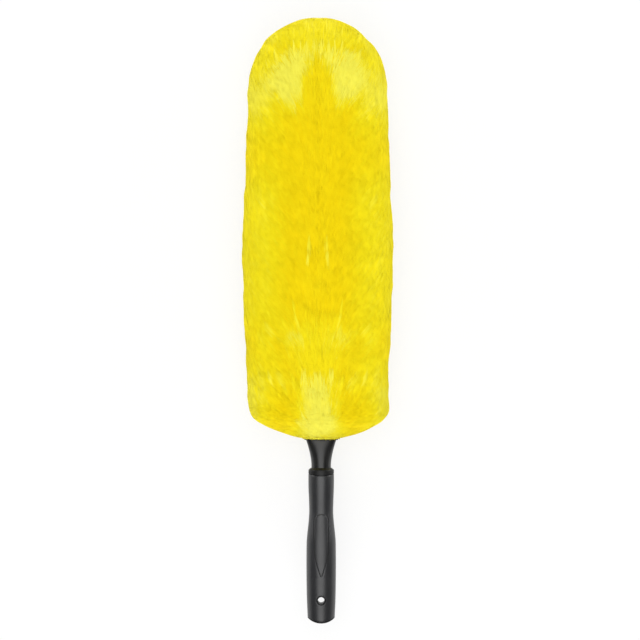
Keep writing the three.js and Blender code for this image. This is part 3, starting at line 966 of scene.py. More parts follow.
# %% Wand
SPIGOT_ROUND = 0.4 * MM
SPIGOT_FIRST = 1 * MM
WINDOW_PITCH = 38 * MM
WINDOW_HALF = 5 * MM
WINDOW_STRAIGHT = 8 * MM
WINDOW_WALL = [(0, 1.2), (0, math.inf)]
WAND_MARGIN = 1.2 * MM
WAND_STEP = 1.8 * MM
WAND_SIDES = 96


def tip_stations(grow, steps):
    """Ever closer places along the round tip, without its first and last."""
    return TIP_CENTRE_Y + (BLADE_HALF + grow) * np.sin(np.linspace(0, math.pi / 2, steps))[1:-1]


def wand():
    start = wand_low.y
    straight = spaced(start + SPIGOT_FIRST, TIP_CENTRE_Y, WAND_STEP)
    stations = [(start, -SPIGOT_ROUND), (start + SPIGOT_ROUND, 0)]
    stations += [(y, 0) for y in [*straight, *tip_stations(0, 20)]]
    windows = []
    for index in range(int((TIP_CENTRE_Y - FLAT_Y) / WINDOW_PITCH)):
        middle = TIP_CENTRE_Y - WINDOW_HALF - WINDOW_STRAIGHT - index * WINDOW_PITCH
        outline = round_outline(middle, WINDOW_HALF, WINDOW_STRAIGHT)
        for facing in (1, -1):
            window = {"outline": outline, "facing": facing, "wall": WINDOW_WALL, "margin": WAND_MARGIN}
            windows.append(window)
    points, faces = tube(stations, wand_section, WAND_SIDES, windows)
    points.append((0, BLADE_TIP_Y, AXIS_Z))
    tip, last = len(points) - 1, (len(stations) - 1) * WAND_SIDES
    faces += [(last + i, tip, last + (i + 1) % WAND_SIDES) for i in range(WAND_SIDES)]
    print(len(windows) // 2, "windows")
    return new_piece("wand", points, faces, satin_wand, "handle", "wand_plastic", "wand_blade")


wand()

# %% [markdown]
# ## The sleeve under the fibre
#
# An elastic of woven rubber and yarn closes the mouth, and a knitted tube carries the fibre. Both
# are in deep shade until the sleeve is pulled off. They could be cloth simulations, but they are
# held in shape all round by the wand, so they are rings on the wand's own section, grown by their
# thickness: smooth for the knit, and swelling and drawing in for the gathered elastic.

# %% Elastic
CUFF_RIBS = 60
RIB_POINTS = 8
RIB_SWELL = 0.1 * MM
ROW_SWELL = 0.08 * MM
CUFF_ROWS = 10
CUFF_EDGE_ROWS = 5
CUFF_SLACK = 0.2 * MM
CUFF_EDGE = 0.9 * MM
CUFF_THICK = 1.7 * MM


def elastic():
    """A band gathered by its rubber: its outside swells and draws in all the way round."""
    sides = CUFF_RIBS * RIB_POINTS
    ribs = RIB_SWELL * np.cos(CUFF_RIBS * angles_round(sides))
    cuff_low, cuff_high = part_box("elastic_cuff")
    ys = np.linspace(cuff_low.y, cuff_high.y, CUFF_ROWS)
    outside = []
    for i, y in enumerate(ys):
        thick = CUFF_EDGE + (CUFF_THICK - CUFF_EDGE) * min(1, i / CUFF_EDGE_ROWS)
        outside.append((y, thick + ribs + ROW_SWELL * math.cos(i * math.pi)))
    rings = []
    for y, grow in outside + [(y, CUFF_SLACK) for y in ys[::-1]]:
        depth, power = wand_section(y, grow)[1:]
        rings.append(ring(y, BLADE_HALF + grow, depth, power, sides))
    return new_piece("elastic", *skin(rings), black_elastic, "sleeve", "elastic", "elastic_cuff")


elastic()

# %% Knitted tube
KNIT_INSIDE = 0.5 * MM
KNIT_OUTSIDE = 1.9 * MM
KNIT_STEP = 6 * MM


def knitted_tube():
    """Rings along the inside from the closed tip to the open end, and back along the outside."""
    straight = spaced(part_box("sleeve_backing")[0].y, TIP_CENTRE_Y, KNIT_STEP)
    sides = []
    for grow in (KNIT_INSIDE, KNIT_OUTSIDE):
        ys = [*straight, *tip_stations(grow, 12)]
        sides.append([ring(y, *wand_section(y, grow), WAND_SIDES) for y in ys])
    poles = [(0, BLADE_TIP_Y + grow, AXIS_Z) for grow in (KNIT_INSIDE, KNIT_OUTSIDE)]
    points, faces = skin(sides[0][::-1] + sides[1], poles)
    return new_piece("knitted_tube", points, faces, yellow_knit, "sleeve", "knit", "sleeve_backing")


knitted_tube()

# %% [markdown]
# ## The shape of the head
#
# The head is one outline: nearly straight sides, a broad round crown, a quick round-in at the
# mouth and a slight belly. Fibre is sewn to the sleeve along its whole length and combed towards
# the crown, so it lies in overlapping rows, each row's tips over the roots of the next. The outline
# is a formula, so that any point of the pile can be found from an angle round the head and a
# distance along its surface.

# %% The outline
PILE_WIDTH = 141 * MM
PILE_BULGE = 11 * MM
BULGE_SPREAD = 95 * MM
BULGE_SHARE = 0.43
PILE_THICKNESS = 108 * MM
MOUTH_ROUND = 24 * MM
MOUTH_SHAPE = 1.35
CROWN_ROUND = 80 * MM
CROWN_SHAPE = 2.2
PILE_LENGTH = CROWN_Y - MOUTH_Y
MOUTH_HALF_WIDTH = 19.8 * MM
MOUTH_HALF_DEPTH = 10.4 * MM


def head_section(y):
    """Half width and half depth of the head at y."""
    along = np.clip(y - MOUTH_Y, 0, PILE_LENGTH)
    belly = PILE_BULGE / 2 * np.exp(-(((along - PILE_LENGTH * BULGE_SHARE) / BULGE_SPREAD) ** 2))
    to_mouth = np.maximum(0, 1 - along / MOUTH_ROUND)
    opened = (1 - to_mouth**MOUTH_SHAPE) ** (1 / MOUTH_SHAPE)
    to_crown = np.maximum(0, 1 - (PILE_LENGTH - along) / CROWN_ROUND)
    dome = (1 - to_crown**CROWN_SHAPE) ** (1 / CROWN_SHAPE)
    width = (MOUTH_HALF_WIDTH + (PILE_WIDTH / 2 + belly - MOUTH_HALF_WIDTH) * opened) * dome
    depth = (MOUTH_HALF_DEPTH + (PILE_THICKNESS / 2 - MOUTH_HALF_DEPTH) * opened) * dome
    return width, depth


# How far along the outline each y is, measured over the surface from the mouth
outline_y = np.linspace(MOUTH_Y, CROWN_Y, 3000)
outline_r = sum(head_section(outline_y)) / 2
outline_path = np.concatenate([[0], np.cumsum(np.hypot(np.diff(outline_y), np.diff(outline_r)))])


def y_along(path):
    return np.interp(path, outline_path, outline_y)


print(f"head {PILE_LENGTH / MM:.0f} mm long, {outline_path[-1] / MM:.0f} mm over its surface")

# %% The rows in the outline
ROWS = 7
FIRST_TIP = 70 * MM
CROWN_LENGTH = 26 * MM
ROW_PITCH = (PILE_LENGTH - FIRST_TIP - CROWN_LENGTH) / (ROWS - 2)
ROUND_OFF = 6 * MM
FRONT_ROUND_OFF = 9 * MM


def eased(values, spread):
    """The values with their sharp bends rounded off. Both ends stay where they are."""
    reach = 3 * spread
    before, after = 2 * values[0] - values[reach:0:-1], 2 * values[-1] - values[-2 : -reach - 2 : -1]
    bell = np.exp(-((np.arange(-reach, reach + 1) / spread) ** 2) / 2)
    return np.convolve(np.concatenate([before, values, after]), bell / bell.sum(), "valid")


path_at = np.linspace(0, outline_path[-1], 2000)
path_y = y_along(path_at)
path_wide, path_deep = head_section(path_y)
path_wide = eased(path_wide, round(ROUND_OFF / path_at[1]))
path_deep = eased(path_deep, round(FRONT_ROUND_OFF / path_at[1]))
path_y = eased(path_y, round(ROUND_OFF / path_at[1]))
tip_y = MOUTH_Y + FIRST_TIP + ROW_PITCH * np.arange(ROWS - 1)
row_ends = np.interp(tip_y, outline_y, outline_path)
row_ends = np.concatenate([[0], row_ends, [outline_path[-1]]])
print("row ends along the surface, mm:", np.round(row_ends / MM))

# %% Points on the head
PILE_POWER = 2.3
SLEEVE_POWER = 3
SLEEVE_GROW = 2.4 * MM
TUFT_RISE = 34 * MM
ROOT_FROM_MOUTH = 16 * MM
ROOT_FROM_TIP = 9 * MM
LEAST_REACH = 0.1
TABLE_GAP = 0.2 * MM
PRESSED = 1 * MM
HEAD_SHIFT = -3.5 * MM
SHIFT_OVER = 45 * MM


def sleeve_section(y):
    """Half width and half depth of the sleeve at y: the blade's, grown, and without its flare."""
    width = (BLADE_HALF + SLEEVE_GROW) * round_tip(y, SLEEVE_GROW)
    return width, wand_section(y, SLEEVE_GROW)[1]


def on_head(angle, path, inset=0.0):
    """Points at that distance along the outline, drawn in towards the sleeve by inset. The head
    sits a little to the left of the handle, and the table presses it flat underneath."""
    y = np.interp(path, path_at, path_y)
    half_width, half_depth = np.interp(path, path_at, path_wide), np.interp(path, path_at, path_deep)
    x, z = rim(angle, half_width, half_depth, PILE_POWER)
    x = x + HEAD_SHIFT * np.clip((y - MOUTH_Y) / SHIFT_OVER, 0, 1)
    root_y = np.clip(y - TUFT_RISE, MOUTH_Y + ROOT_FROM_MOUTH, BLADE_TIP_Y - ROOT_FROM_TIP)
    root_x, root_z = rim(angle, *sleeve_section(root_y), SLEEVE_POWER)
    tip = np.stack([x, y, AXIS_Z + z], axis=-1)
    root = np.stack([root_x, root_y, AXIS_Z + root_z], axis=-1)
    reach = np.maximum(1 - inset / np.linalg.norm(tip - root, axis=-1), LEAST_REACH)
    lowest = TABLE_GAP + np.maximum(inset + PRESSED, PRESSED / 2) / 2
    drop = np.maximum(root[..., 2] - tip[..., 2], MM)
    reach = np.minimum(reach, np.where(tip[..., 2] < root[..., 2], (root[..., 2] - lowest) / drop, 1))
    return root + (tip - root) * reach[..., None]


print("underneath, mm over the table:", np.round(on_head(-math.pi / 2, row_ends[1:4])[:, 2] / MM, 2))

# %% [markdown]
# ## Tones of yellow
#
# The fibre isn't one yellow. Its middle is golden, three places on each side are a deeper golden,
# and the sides are lemon: painted paler, as painted light that keeps them as bright as the middle
# where they turn away from the light above. The tufts near the mouth and under the crown are painted
# so pale that they look brushed with white: painted sheen, the light that silky fibre catches there.
# Each fibre gets a tone from where its tip lies, and the material turns the tone into a colour.
# The places are listed, and they are alike left and right.

# %% Where the fibre is paler or more golden
MIDDLE_TONE = 0.12
# How much paler the sides are painted: painted light that keeps them bright where they turn away
PAINTED_SIDE_LIGHT = 0.36
SIDE_FROM = 24 * MM
SIDE_OVER = 34 * MM
# Places of painted sheen: row, then x and y from the middle of the head, half width, half height,
# and how much paler
PAINTED_SHEEN_PLACES = [
    (0, 0, -54, 30, 24, 1.0),
    (0, 0, -84, 32, 30, 0.9),
    (0, 0, -108, 40, 26, 0.9),
    (0, 37, -54, 10, 14, 0.4),
    (0, 66, -76, 16, 36, 0.35),
    (1, 0, -30, 42, 55, 0.3),
    (1, 0, 4, 60, 30, 0.12),
    (1, 28, -11, 18, 11, 0.5),
    (1, 55, -14, 10, 18, 0.3),
    (5, 0, 250, 90, 50, 0.15),
    (5, 0, 274, 18, 9, 0.9),
    (5, 21, 264, 17, 20, 1.0),
    (5, 32, 248, 19, 28, 1.0),
    (5, 28, 228, 15, 18, 0.5),
    (5, 44, 240, 14, 18, 0.5),
    (5, 64, 224, 18, 28, 0.3),
    (6, 0, 296, 90, 50, 0.45),
]
GOLD_PLACES = [(60, 170, 32, 36), (58, -15, 28, 30), (55, -85, 28, 34)]
GOLD_MUCH = 0.22
SPOT_SHAPE = 1.2


def soft_spot(x, y, half_wide, half_high):
    """1 in the middle of a place, fading smoothly to 0 at its edge."""
    away = np.clip(np.hypot(x / half_wide, y / half_high) / MM, 0, 1)
    return np.cos(away * math.pi / 2) ** SPOT_SHAPE


def fibre_tone(row, x, y):
    """From 0, deep golden, to 1, pale lemon. The sides are painted paler than the middle, as
    painted light, the places of painted sheen paler still, and the golden places deeper.
    """
    across = np.abs(x - HEAD_SHIFT)
    tone = MIDDLE_TONE + PAINTED_SIDE_LIGHT * smooth_step((across - SIDE_FROM) / SIDE_OVER)
    for place_row, px, py, half_wide, half_high, much in PAINTED_SHEEN_PLACES:
        spot = soft_spot(across - px * MM, y - py * MM, half_wide, half_high)
        tone = tone + (place_row == row) * much * spot
    for px, py, half_wide, half_high in GOLD_PLACES:
        tone = tone - GOLD_MUCH * soft_spot(across - px * MM, y - py * MM, half_wide, half_high)
    return np.clip(tone, 0, 1)


print(len(PAINTED_SHEEN_PLACES), "paler places and", len(GOLD_PLACES), "golden ones")

# %% [markdown]
# ## The finish of the fibre
#
# Combed fibre is silky: matt along its length, with a soft sheen where it turns away. A hair shader
# would give that, but it doesn't leave this program, so it is a rough surface with a warm sheen and
# fine streaks along the duster. Towards each fibre's root the colour is painted deeper: painted
# shade down in the pile. Loose fibres need hardly any streaks, because they are streaks themselves.

# %% Fibre material
# Colours from tone 0 to tone 1: the palest is the colour of the painted sheen
GOLDEN = (0.93, 0.69, 0.0008)
LEMON = (0.94, 0.80, 0.008)
PALE = (0.96, 0.90, 0.09)
# The colour of the painted shade deep in the pile, at each fibre's root
PAINTED_ROOT_SHADE = (0.85, 0.55, 0.001)
TONE_STOPS = {0.08: GOLDEN, 0.5: LEMON, 1.0: PALE}
ROOT_SHADE_SHARE = 0.25
STREAK_DEPTH = 0.5 * MM
FIBRE_FINISH = {
    "Roughness": 0.6,
    "Specular IOR Level": 0.04,
    "Sheen Weight": 0.2,
    "Sheen Roughness": 0.5,
    "Sheen Tint": (1, 0.93, 0.25, 1),
}


def fibre_material(name, streaks):
    """Golden to pale by each fibre's tone, with painted shade towards its root."""
    material, tree, shader = node_material(name)
    tone = add_node(tree, "ShaderNodeAttribute", attribute_name="tone")
    ramp = add_node(tree, "ShaderNodeValToRGB", {"Fac": tone.outputs["Fac"]})
    ramp.color_ramp.elements.new(0.5)
    for element, (position, colour) in zip(ramp.color_ramp.elements, TONE_STOPS.items()):
        element.position, element.color = position, (*colour, 1)
    # Painted shade: mixed towards the root's colour by how far back along the fibre a point lies
    back = add_node(tree, "ShaderNodeAttribute", attribute_name="back")
    inputs = {"Value": back.outputs["Fac"], "To Min": 0.0, "To Max": ROOT_SHADE_SHARE}
    deep = add_node(tree, "ShaderNodeMapRange", inputs)
    shade = add_node(tree, "ShaderNodeMix", {"Factor": deep.outputs[0]}, data_type="RGBA")
    tree.links.new(ramp.outputs["Color"], shade.inputs["A"])
    shade.inputs["B"].default_value = (*PAINTED_ROOT_SHADE, 1)
    tree.links.new(shade.outputs["Result"], shader.inputs["Base Color"])
    relief = put_effect(tree, GRAIN, Scale=1400.0, Stretch=14.0)
    inputs = {"Height": relief.outputs["Height"], "Strength": streaks, "Distance": STREAK_DEPTH}
    bump = add_node(tree, "ShaderNodeBump", inputs)
    tree.links.new(bump.outputs["Normal"], shader.inputs["Normal"])
    for socket, value in FIBRE_FINISH.items():
        shader.inputs[socket].default_value = value
    return material


loose_fibre = fibre_material("loose_fibre", 0.1)
packed_fibre = fibre_material("packed_fibre", 0.8)
print("fibre materials", loose_fibre.name, packed_fibre.name)

# %% [markdown]
# ## The dense part of the pile
#
# Deep in the pile the fibres are packed so close that no light comes through. One skin for each
# row stands for that depth: it follows the outline a few millimetres down, rises towards its own
# tips, dips between the locks and is hollow for the sleeve. The loose fibres that show are laid
# over it afterwards.

# %% The shape of a bed
BED_DEPTH = 2.2 * MM
BED_TOP_RISE = 0.75
BED_SIDES = 144
BED_STEPS = 12
BED_RELIEF = 0.8 * MM
ROW_STEP = 1.1 * MM
ROW_GAP = 0.8 * MM
LOCKS_ROUND = 18
BROAD_LOCKS_ROUND = 6
NARROW_LOCK_SHARE = 0.35
BROAD_LOCK_SHARE = 0.15
LOCK_TIP = 5 * MM
LOCK_LEAN = 0.22


def row_node(row):
    return "fibre_crown" if row == ROWS - 1 else f"fibre_tier_{row + 1}"


def hollow(angle, up, row):
    """How deep the dip between two locks is, from 0 on a lock's ridge to 1 between two."""
    turn = angle + LOCK_LEAN * up * np.sin(2 * angle)
    narrow = 1 - np.cos(LOCKS_ROUND * turn + row * math.pi)
    broad = 1 - np.cos(BROAD_LOCKS_ROUND * turn + row)
    return NARROW_LOCK_SHARE * narrow + BROAD_LOCK_SHARE * broad


def bed_outside(row):
    """The outer rings of one row's bed, from its roots to its tips."""
    angle = angles_round(BED_SIDES)
    crown = row == ROWS - 1
    low = row_ends[row] + (ROW_GAP - LOCK_TIP * hollow(angle, 1, row - 1) if row else 0)
    high = row_ends[row + 1] - (0 if crown else LOCK_TIP * hollow(angle, 1, row))
    rings = []
    for up in np.linspace(0, 1, BED_STEPS + 1)[: -1 if crown else None]:
        inset = BED_DEPTH + BED_RELIEF * hollow(angle, up, row)
        inset = inset + (ROW_STEP * (1 - up) ** 2 if row else 0)
        if crown:
            inset = inset * (1 - BED_TOP_RISE * up**3)
        rings.append(on_head(angle, low + (high - low) * up, inset))
    return rings


def bed_inside(row):
    """The inner rings, along the sleeve, from its tips back to its roots."""
    low = y_along(row_ends[row]) - TUFT_RISE + ROW_GAP
    high = BLADE_TIP_Y if row == ROWS - 1 else y_along(row_ends[row + 1]) - TUFT_RISE
    heights = np.linspace(high, max(low, MOUTH_Y), BED_STEPS)
    return [ring(y, *sleeve_section(y), SLEEVE_POWER, BED_SIDES) for y in heights]


print("a bed lies", BED_DEPTH / MM, "mm under the outline")


# %% Make the beds
def fibre_bed(row):
    poles = None
    if row == ROWS - 1:
        top_y = CROWN_Y - BED_DEPTH * (1 - BED_TOP_RISE)
        poles = [(0, BLADE_TIP_Y + SLEEVE_GROW, AXIS_Z), (HEAD_SHIFT, top_y, AXIS_Z)]
    points, faces = skin(bed_inside(row) + bed_outside(row), poles)
    name, node = f"row_{row + 1}_bed", row_node(row)
    bed = new_piece(name, points, faces, packed_fibre, "sleeve", "fibre", node)
    # The bed takes the fibres' tone, with its painted sheen and painted side light
    tone = fibre_tone(row, points[:, 0], points[:, 1]).astype(np.float32)
    bed.data.attributes.new("tone", "FLOAT", "POINT").data.foreach_set("value", tone)


for row in range(ROWS):
    fibre_bed(row)

# %% [markdown]
# ## The loose fibres
#
# Particle hair wouldn't leave this program as a solid, so each fibre is a thin tapered prism,
# worked out for a whole row at once in arrays, which takes seconds. Its tip is a point on the head,
# and four rings of three points lead back from there into the bed.
#
# Real fibre clings together, so the tips are placed as locks: staggered lines of them round the
# head, each a little astray. The fibres of a lock share one tip and one tone, and spread towards
# their roots. All of them are combed towards the crown and fan out from the middle of the front and
# of the back. Soft waves of several sizes push the whole pile in and out, as tufts do.

# %% Where the locks end
LOCK_RISE = 9.0 * MM
LOCK_ACROSS = 5.0 * MM
LOCK_STRAY = 9.0 * MM
LEAST_LOCKS = 22
TURN_STRAY = 0.3
TIP_STRAY = (-1, 0.6)
LOCK_FROM_MOUTH = 0.5 * MM
dice = np.random.default_rng(7)


def lock_places(row):
    """The tip of every lock of a row: its angle round the head and its distance along it."""
    start, end = row_ends[row], row_ends[row + 1]
    lines = max(2, round((end - start) / LOCK_RISE))
    angles, paths = [], []
    for line in range(lines):
        path = end - (end - start) * line / lines
        mean_half = float(np.mean(head_section(y_along(path))))
        count = max(LEAST_LOCKS, round(2 * math.pi * mean_half / LOCK_ACROSS))
        stray = dice.uniform(-TURN_STRAY, TURN_STRAY, count)
        turn = (np.arange(count) + 0.5 * (line % 2) + stray) / count
        angles.append(turn * 2 * math.pi)
        paths.append(path + dice.uniform(*TIP_STRAY, count) * LOCK_STRAY)
    paths = np.clip(np.concatenate(paths), LOCK_FROM_MOUTH, outline_path[-1] - MM)
    return np.concatenate(angles) % (2 * math.pi), paths


print(f"a line of locks every {LOCK_RISE / MM:.0f} mm, a lock every {LOCK_ACROSS / MM:.0f} mm round")


# %% From a fibre's line to its prism
RINGS_BACK = np.array([1.0, 0.7, 0.42, 0.18, 0.0])
RING_RADIUS = np.array([1.0, 1.0, 0.9, 0.6]) * 0.34 * MM
RIDGE_SHARE = 0.35
SILK_SHARE = 0.85
FACET_SHARE = 0.15
ROUND_SHARE = 0.2
NORMAL_STEP = 0.5 * MM
NORMAL_TURN = 0.02


def head_normal(angle, path):
    """Straight out of the smooth head, so that fibres are shaded as one silky surface."""
    path = np.minimum(path, path_at[-1] - 2 * NORMAL_STEP)
    round_head = on_head(angle + NORMAL_TURN, path) - on_head(angle, path)
    along_head = on_head(angle, path + NORMAL_STEP) - on_head(angle, path - NORMAL_STEP)
    return unit(np.cross(along_head, round_head))


def taper(line, outward, thickness):
    """A low three-sided prism along each line, closing to a point at the tip."""
    ahead = unit(line[:, 1:] - line[:, :-1])
    side = unit(np.cross(ahead, outward[:, :-1]))
    out = np.cross(side, ahead)
    radius = RING_RADIUS[None, :, None] * thickness[:, None, None]
    low = line[:, :-1]
    ridge = low + out * radius * RIDGE_SHARE
    corners = np.stack([ridge, low + side * radius, low - side * radius], axis=2)
    flat = outward[:, :-1] * SILK_SHARE + out * FACET_SHARE
    normals = np.stack([flat, flat + side * ROUND_SHARE, flat - side * ROUND_SHARE], axis=2)
    count = len(line)
    points = np.concatenate([corners.reshape(count, -1, 3), line[:, -1:]], axis=1)
    points[..., 2] = np.maximum(points[..., 2], TABLE_GAP)
    return points, unit(np.concatenate([normals.reshape(count, -1, 3), outward[:, -1:]], axis=1))


print(f"a fibre is {2 * RING_RADIUS.max() / MM:.2f} mm wide at its root")

# %% Fibres laid on the head
CALM_OVER = 45 * MM
UPWARD = 0.35
UPWARD_OVER = 15 * MM
TUFT_RELIEF = 0.5 * MM
# Depth of the waves in mm, waves round the head, radians for each mm along it, and their start
TUFTS = [
    (0.4, 2, 0.071, 1.0),
    (0.4, -3, 0.113, 2.6),
    (0.3, 5, 0.19, 0.4),
    (0.25, -7, 0.31, 5.0),
    (0.2, 9, -0.44, 3.3),
]
THICKNESSES = (0.75, 1.25)
MAP_EDGE = 0.02
MAP_BEFORE = 40 * MM
MAP_SPARE = 50 * MM


def calm_ends(path, least):
    """1 along most of the head, falling to least at the mouth and at the crown's pole."""
    from_crown = outline_path[-1] - path
    return np.clip(path / CALM_OVER, least, 1) * np.clip(from_crown / CALM_OVER, least, 1)


def tufts(angle, path):
    """How far the loose pile stands in from the smooth outline: soft tufts of several sizes."""
    deep = sum(
        size * np.sin(round_head * angle + along_head * path / MM + start)
        for size, round_head, along_head, start in TUFTS
    )
    return (TUFT_RELIEF + deep * MM) * calm_ends(path, 0)


def laid_fibres(row, ring_angle, ring_path, ring_inset):
    """Points, normals and map places of fibres from where each of their rings lies on the head."""
    line = on_head(ring_angle, ring_path, ring_inset + tufts(ring_angle, ring_path))
    outward = head_normal(ring_angle, ring_path)
    outward[..., 2] += UPWARD * np.clip((line[..., 2] - AXIS_Z) / UPWARD_OVER, -1, 1)
    points, normals = taper(line, unit(outward), dice.uniform(*THICKNESSES, len(line)))
    turn = ring_angle % (2 * math.pi) / (2 * math.pi)
    turn = np.where(np.abs(turn - turn[:, -1:]) > 0.5, turn[:, -1:], turn)
    start, end = row_ends[row], row_ends[row + 1]
    high = (ring_path - start + MAP_BEFORE) / (end - start + MAP_SPARE)
    place = np.stack([MAP_EDGE + (1 - 2 * MAP_EDGE) * turn, high], axis=-1)
    place = np.concatenate([np.repeat(place[:, :-1], 3, axis=1), place[:, -1:]], axis=1)
    return {"line": line, "points": points, "normals": normals, "map": np.clip(place, 0, 1)}


print(len(TUFTS), "waves push the pile in and out")

# %% How fibres run
FIBRES_IN_LOCK = 29
FIBRE_LENGTH = 34 * MM
LENGTHS = (0.85, 1.15)
LOCK_LENGTH = 11 * MM
LOCK_WIDTH = 2.2 * MM
ROOT_WIDTH = 2 * MM
LEAST_RADIUS = 9 * MM
LEAST_CALM = 0.1
TIP_FROM_MOUTH = 0.3 * MM
RING_FROM_MOUTH = 0.05 * MM
LAYER = 0.35 * MM
LAYER_EDGE = 0.05 * MM
LAYER_STEP_SHARE = 0.1
FAN = math.radians(45)
FAN_SHAPE = 0.3
STRAY_LEAN = math.radians(2.5)
SINK_SHARE = 0.045
SINK_FROM = 23 * MM
SINK_BEND = 40 * MM
TONE_STRAY_X = 2.5 * MM
TONE_STRAY_Y = 4 * MM
LOCK_TONE = 0.03
FIBRE_TONE = 0.06
print(f"{FIBRES_IN_LOCK} fibres of about {FIBRE_LENGTH / MM:.0f} mm to a lock")


# %% Every fibre of a row
def row_fibres(row):
    """Points, normals, map places and tones of every fibre of a row, and which are on the front."""
    lock_angle, lock_path = lock_places(row)
    locks = len(lock_angle)
    own = np.repeat(np.arange(locks), FIBRES_IN_LOCK)
    count = len(own)
    start, end = row_ends[row], row_ends[row + 1]

    # Where each fibre's tip is, and how deep it lies among the others
    spread = dice.normal(0, 1, count)
    path = np.maximum(lock_path[own] - np.abs(dice.normal(0, LOCK_LENGTH, count)), TIP_FROM_MOUTH)
    width, depth = head_section(y_along(path))
    middle = lock_angle[own]
    arc = np.maximum(np.hypot(width * np.sin(middle), depth * np.cos(middle)), LEAST_RADIUS)
    angle = middle + spread * LOCK_WIDTH / arc
    up = np.clip((path - start) / (end - start), 0, 1)
    inset = dice.uniform(0, LAYER, count) + LAYER_EDGE * spread**2
    inset = inset + (LAYER_STEP_SHARE * ROW_STEP * (1 - up) ** 2 if row else 0)

    # How it leans, and where its rings are on the way back to its root
    back = RINGS_BACK * FIBRE_LENGTH * dice.uniform(*LENGTHS, count)[:, None]
    fan = np.sin(2 * angle)
    lean = FAN * fan * np.abs(fan) ** FAN_SHAPE + dice.normal(0, STRAY_LEAN, locks)[own]
    lean = lean + dice.normal(0, STRAY_LEAN, count)
    lean = (lean * calm_ends(path, LEAST_CALM))[:, None]
    bend = back * np.sin(lean) + RINGS_BACK * spread[:, None] * np.sin(lean) * ROOT_WIDTH
    ring_angle = angle[:, None] + bend / arc[:, None]
    ring_path = np.maximum(path[:, None] - back * np.cos(lean), RING_FROM_MOUTH)
    ring_inset = inset[:, None] + SINK_SHARE * back
    ring_inset = ring_inset + np.maximum(back - SINK_FROM, 0) ** 2 / SINK_BEND
    made = laid_fibres(row, ring_angle, ring_path, ring_inset)

    # Its tone, which it mostly shares with its lock, with the painted sheen and painted side light
    # of where its tip lies
    line = made["line"]
    stray_x = dice.normal(0, TONE_STRAY_X, locks)[own]
    stray_y = dice.normal(0, TONE_STRAY_Y, locks)[own]
    tone = fibre_tone(row, line[:, -1, 0] + stray_x, line[:, -1, 1] + stray_y)
    made["tone"] = tone + dice.normal(0, LOCK_TONE, locks)[own] + dice.normal(0, FIBRE_TONE, count)
    made["front"] = np.sin(middle) > 0
    return made


# %% Fibres into pieces
def fibre_faces():
    """The faces of one fibre, as runs of point numbers, and how many points each has."""
    loops, sizes = [2, 1, 0], [3]
    last = (len(RING_RADIUS) - 1) * 3
    for low in range(0, last, 3):
        for corner in range(3):
            high, on = low + 3, (corner + 1) % 3
            loops += [low + corner, low + on, high + on, high + corner]
            sizes.append(4)
    for corner in range(3):
        loops += [last + corner, last + (corner + 1) % 3, last + 3]
        sizes.append(3)
    return np.array(loops), np.array(sizes)


def fibre_piece(name, made, row, keep=slice(None)):
    """One mesh of the fibres kept, with their tones, their map and their silky normals."""
    points, normals = made["points"][keep], made["normals"][keep]
    count, each = points.shape[:2]
    loops, sizes = fibre_faces()
    corner = (loops[None] + np.arange(count)[:, None] * each).ravel().astype(np.int32)
    sizes = np.tile(sizes, count)
    mesh = bpy.data.meshes.new(name)
    mesh.vertices.add(count * each)
    mesh.vertices.foreach_set("co", points.astype(np.float32).ravel())
    mesh.loops.add(len(corner))
    mesh.loops.foreach_set("vertex_index", corner)
    mesh.polygons.add(len(sizes))
    mesh.polygons.foreach_set("loop_start", (np.cumsum(sizes) - sizes).astype(np.int32))
    mesh.polygons.foreach_set("loop_total", sizes.astype(np.int32))
    mesh.update(calc_edges=True)
    for key, value in {
        "tone": np.repeat(np.clip(made["tone"][keep], 0, 1), each),
        "back": np.tile(np.append(np.repeat(RINGS_BACK[:-1], 3), 0.0), count),
    }.items():
        mesh.attributes.new(key, "FLOAT", "POINT").data.foreach_set("value", value.astype(np.float32))
    flat_map = made["map"][keep].reshape(-1, 2)[corner]
    mesh.uv_layers.new(name="OFBake").data.foreach_set("uv", flat_map.astype(np.float32).ravel())
    mesh.shade_smooth()
    mesh.normals_split_custom_set_from_vertices(normals.reshape(-1, 3).astype(np.float32))
    place_piece(name, mesh, loose_fibre, "sleeve", "fibre", row_node(row))
    return count


print("a fibre has", len(fibre_faces()[1]), "faces")

# %% [markdown]
# ## Fringe at the mouth
#
# The lowest fibres of the real sleeve hang a millimetre over the elastic, so that only its dark
# edge is seen. The rows above are combed the other way and can't do that, so the fringe is made by
# itself: short fibres from inside the pile, bent down over the mouth.

# %% Fringe at the mouth
FRINGE_FIBRES = 1500
FRINGE_DROP = 1.1 * MM
FRINGE_WAVE = 0.12 * MM
FRINGE_STRAY = 0.2 * MM
FRINGE_SIDE_SHARE = 0.2
FRINGE_RISE = 7 * MM
FRINGE_TONE = 0.07
FRINGE_STARTS = (0.3, 1.0)
FRINGE_THICKNESSES = (0.6, 1.0)
FRINGE_TILT = 10 * MM
# The fringe lies between an inner ring, set out from the blade's side and in from the mouth's
# front, and an outer ring, set in from the mouth's side and out from its front
INNER_SIDE, INNER_FRONT = 2 * MM, 0.6 * MM
OUTER_SIDE, OUTER_FRONT = 1 * MM, 0.8 * MM
MAP_PATCH = 0.01


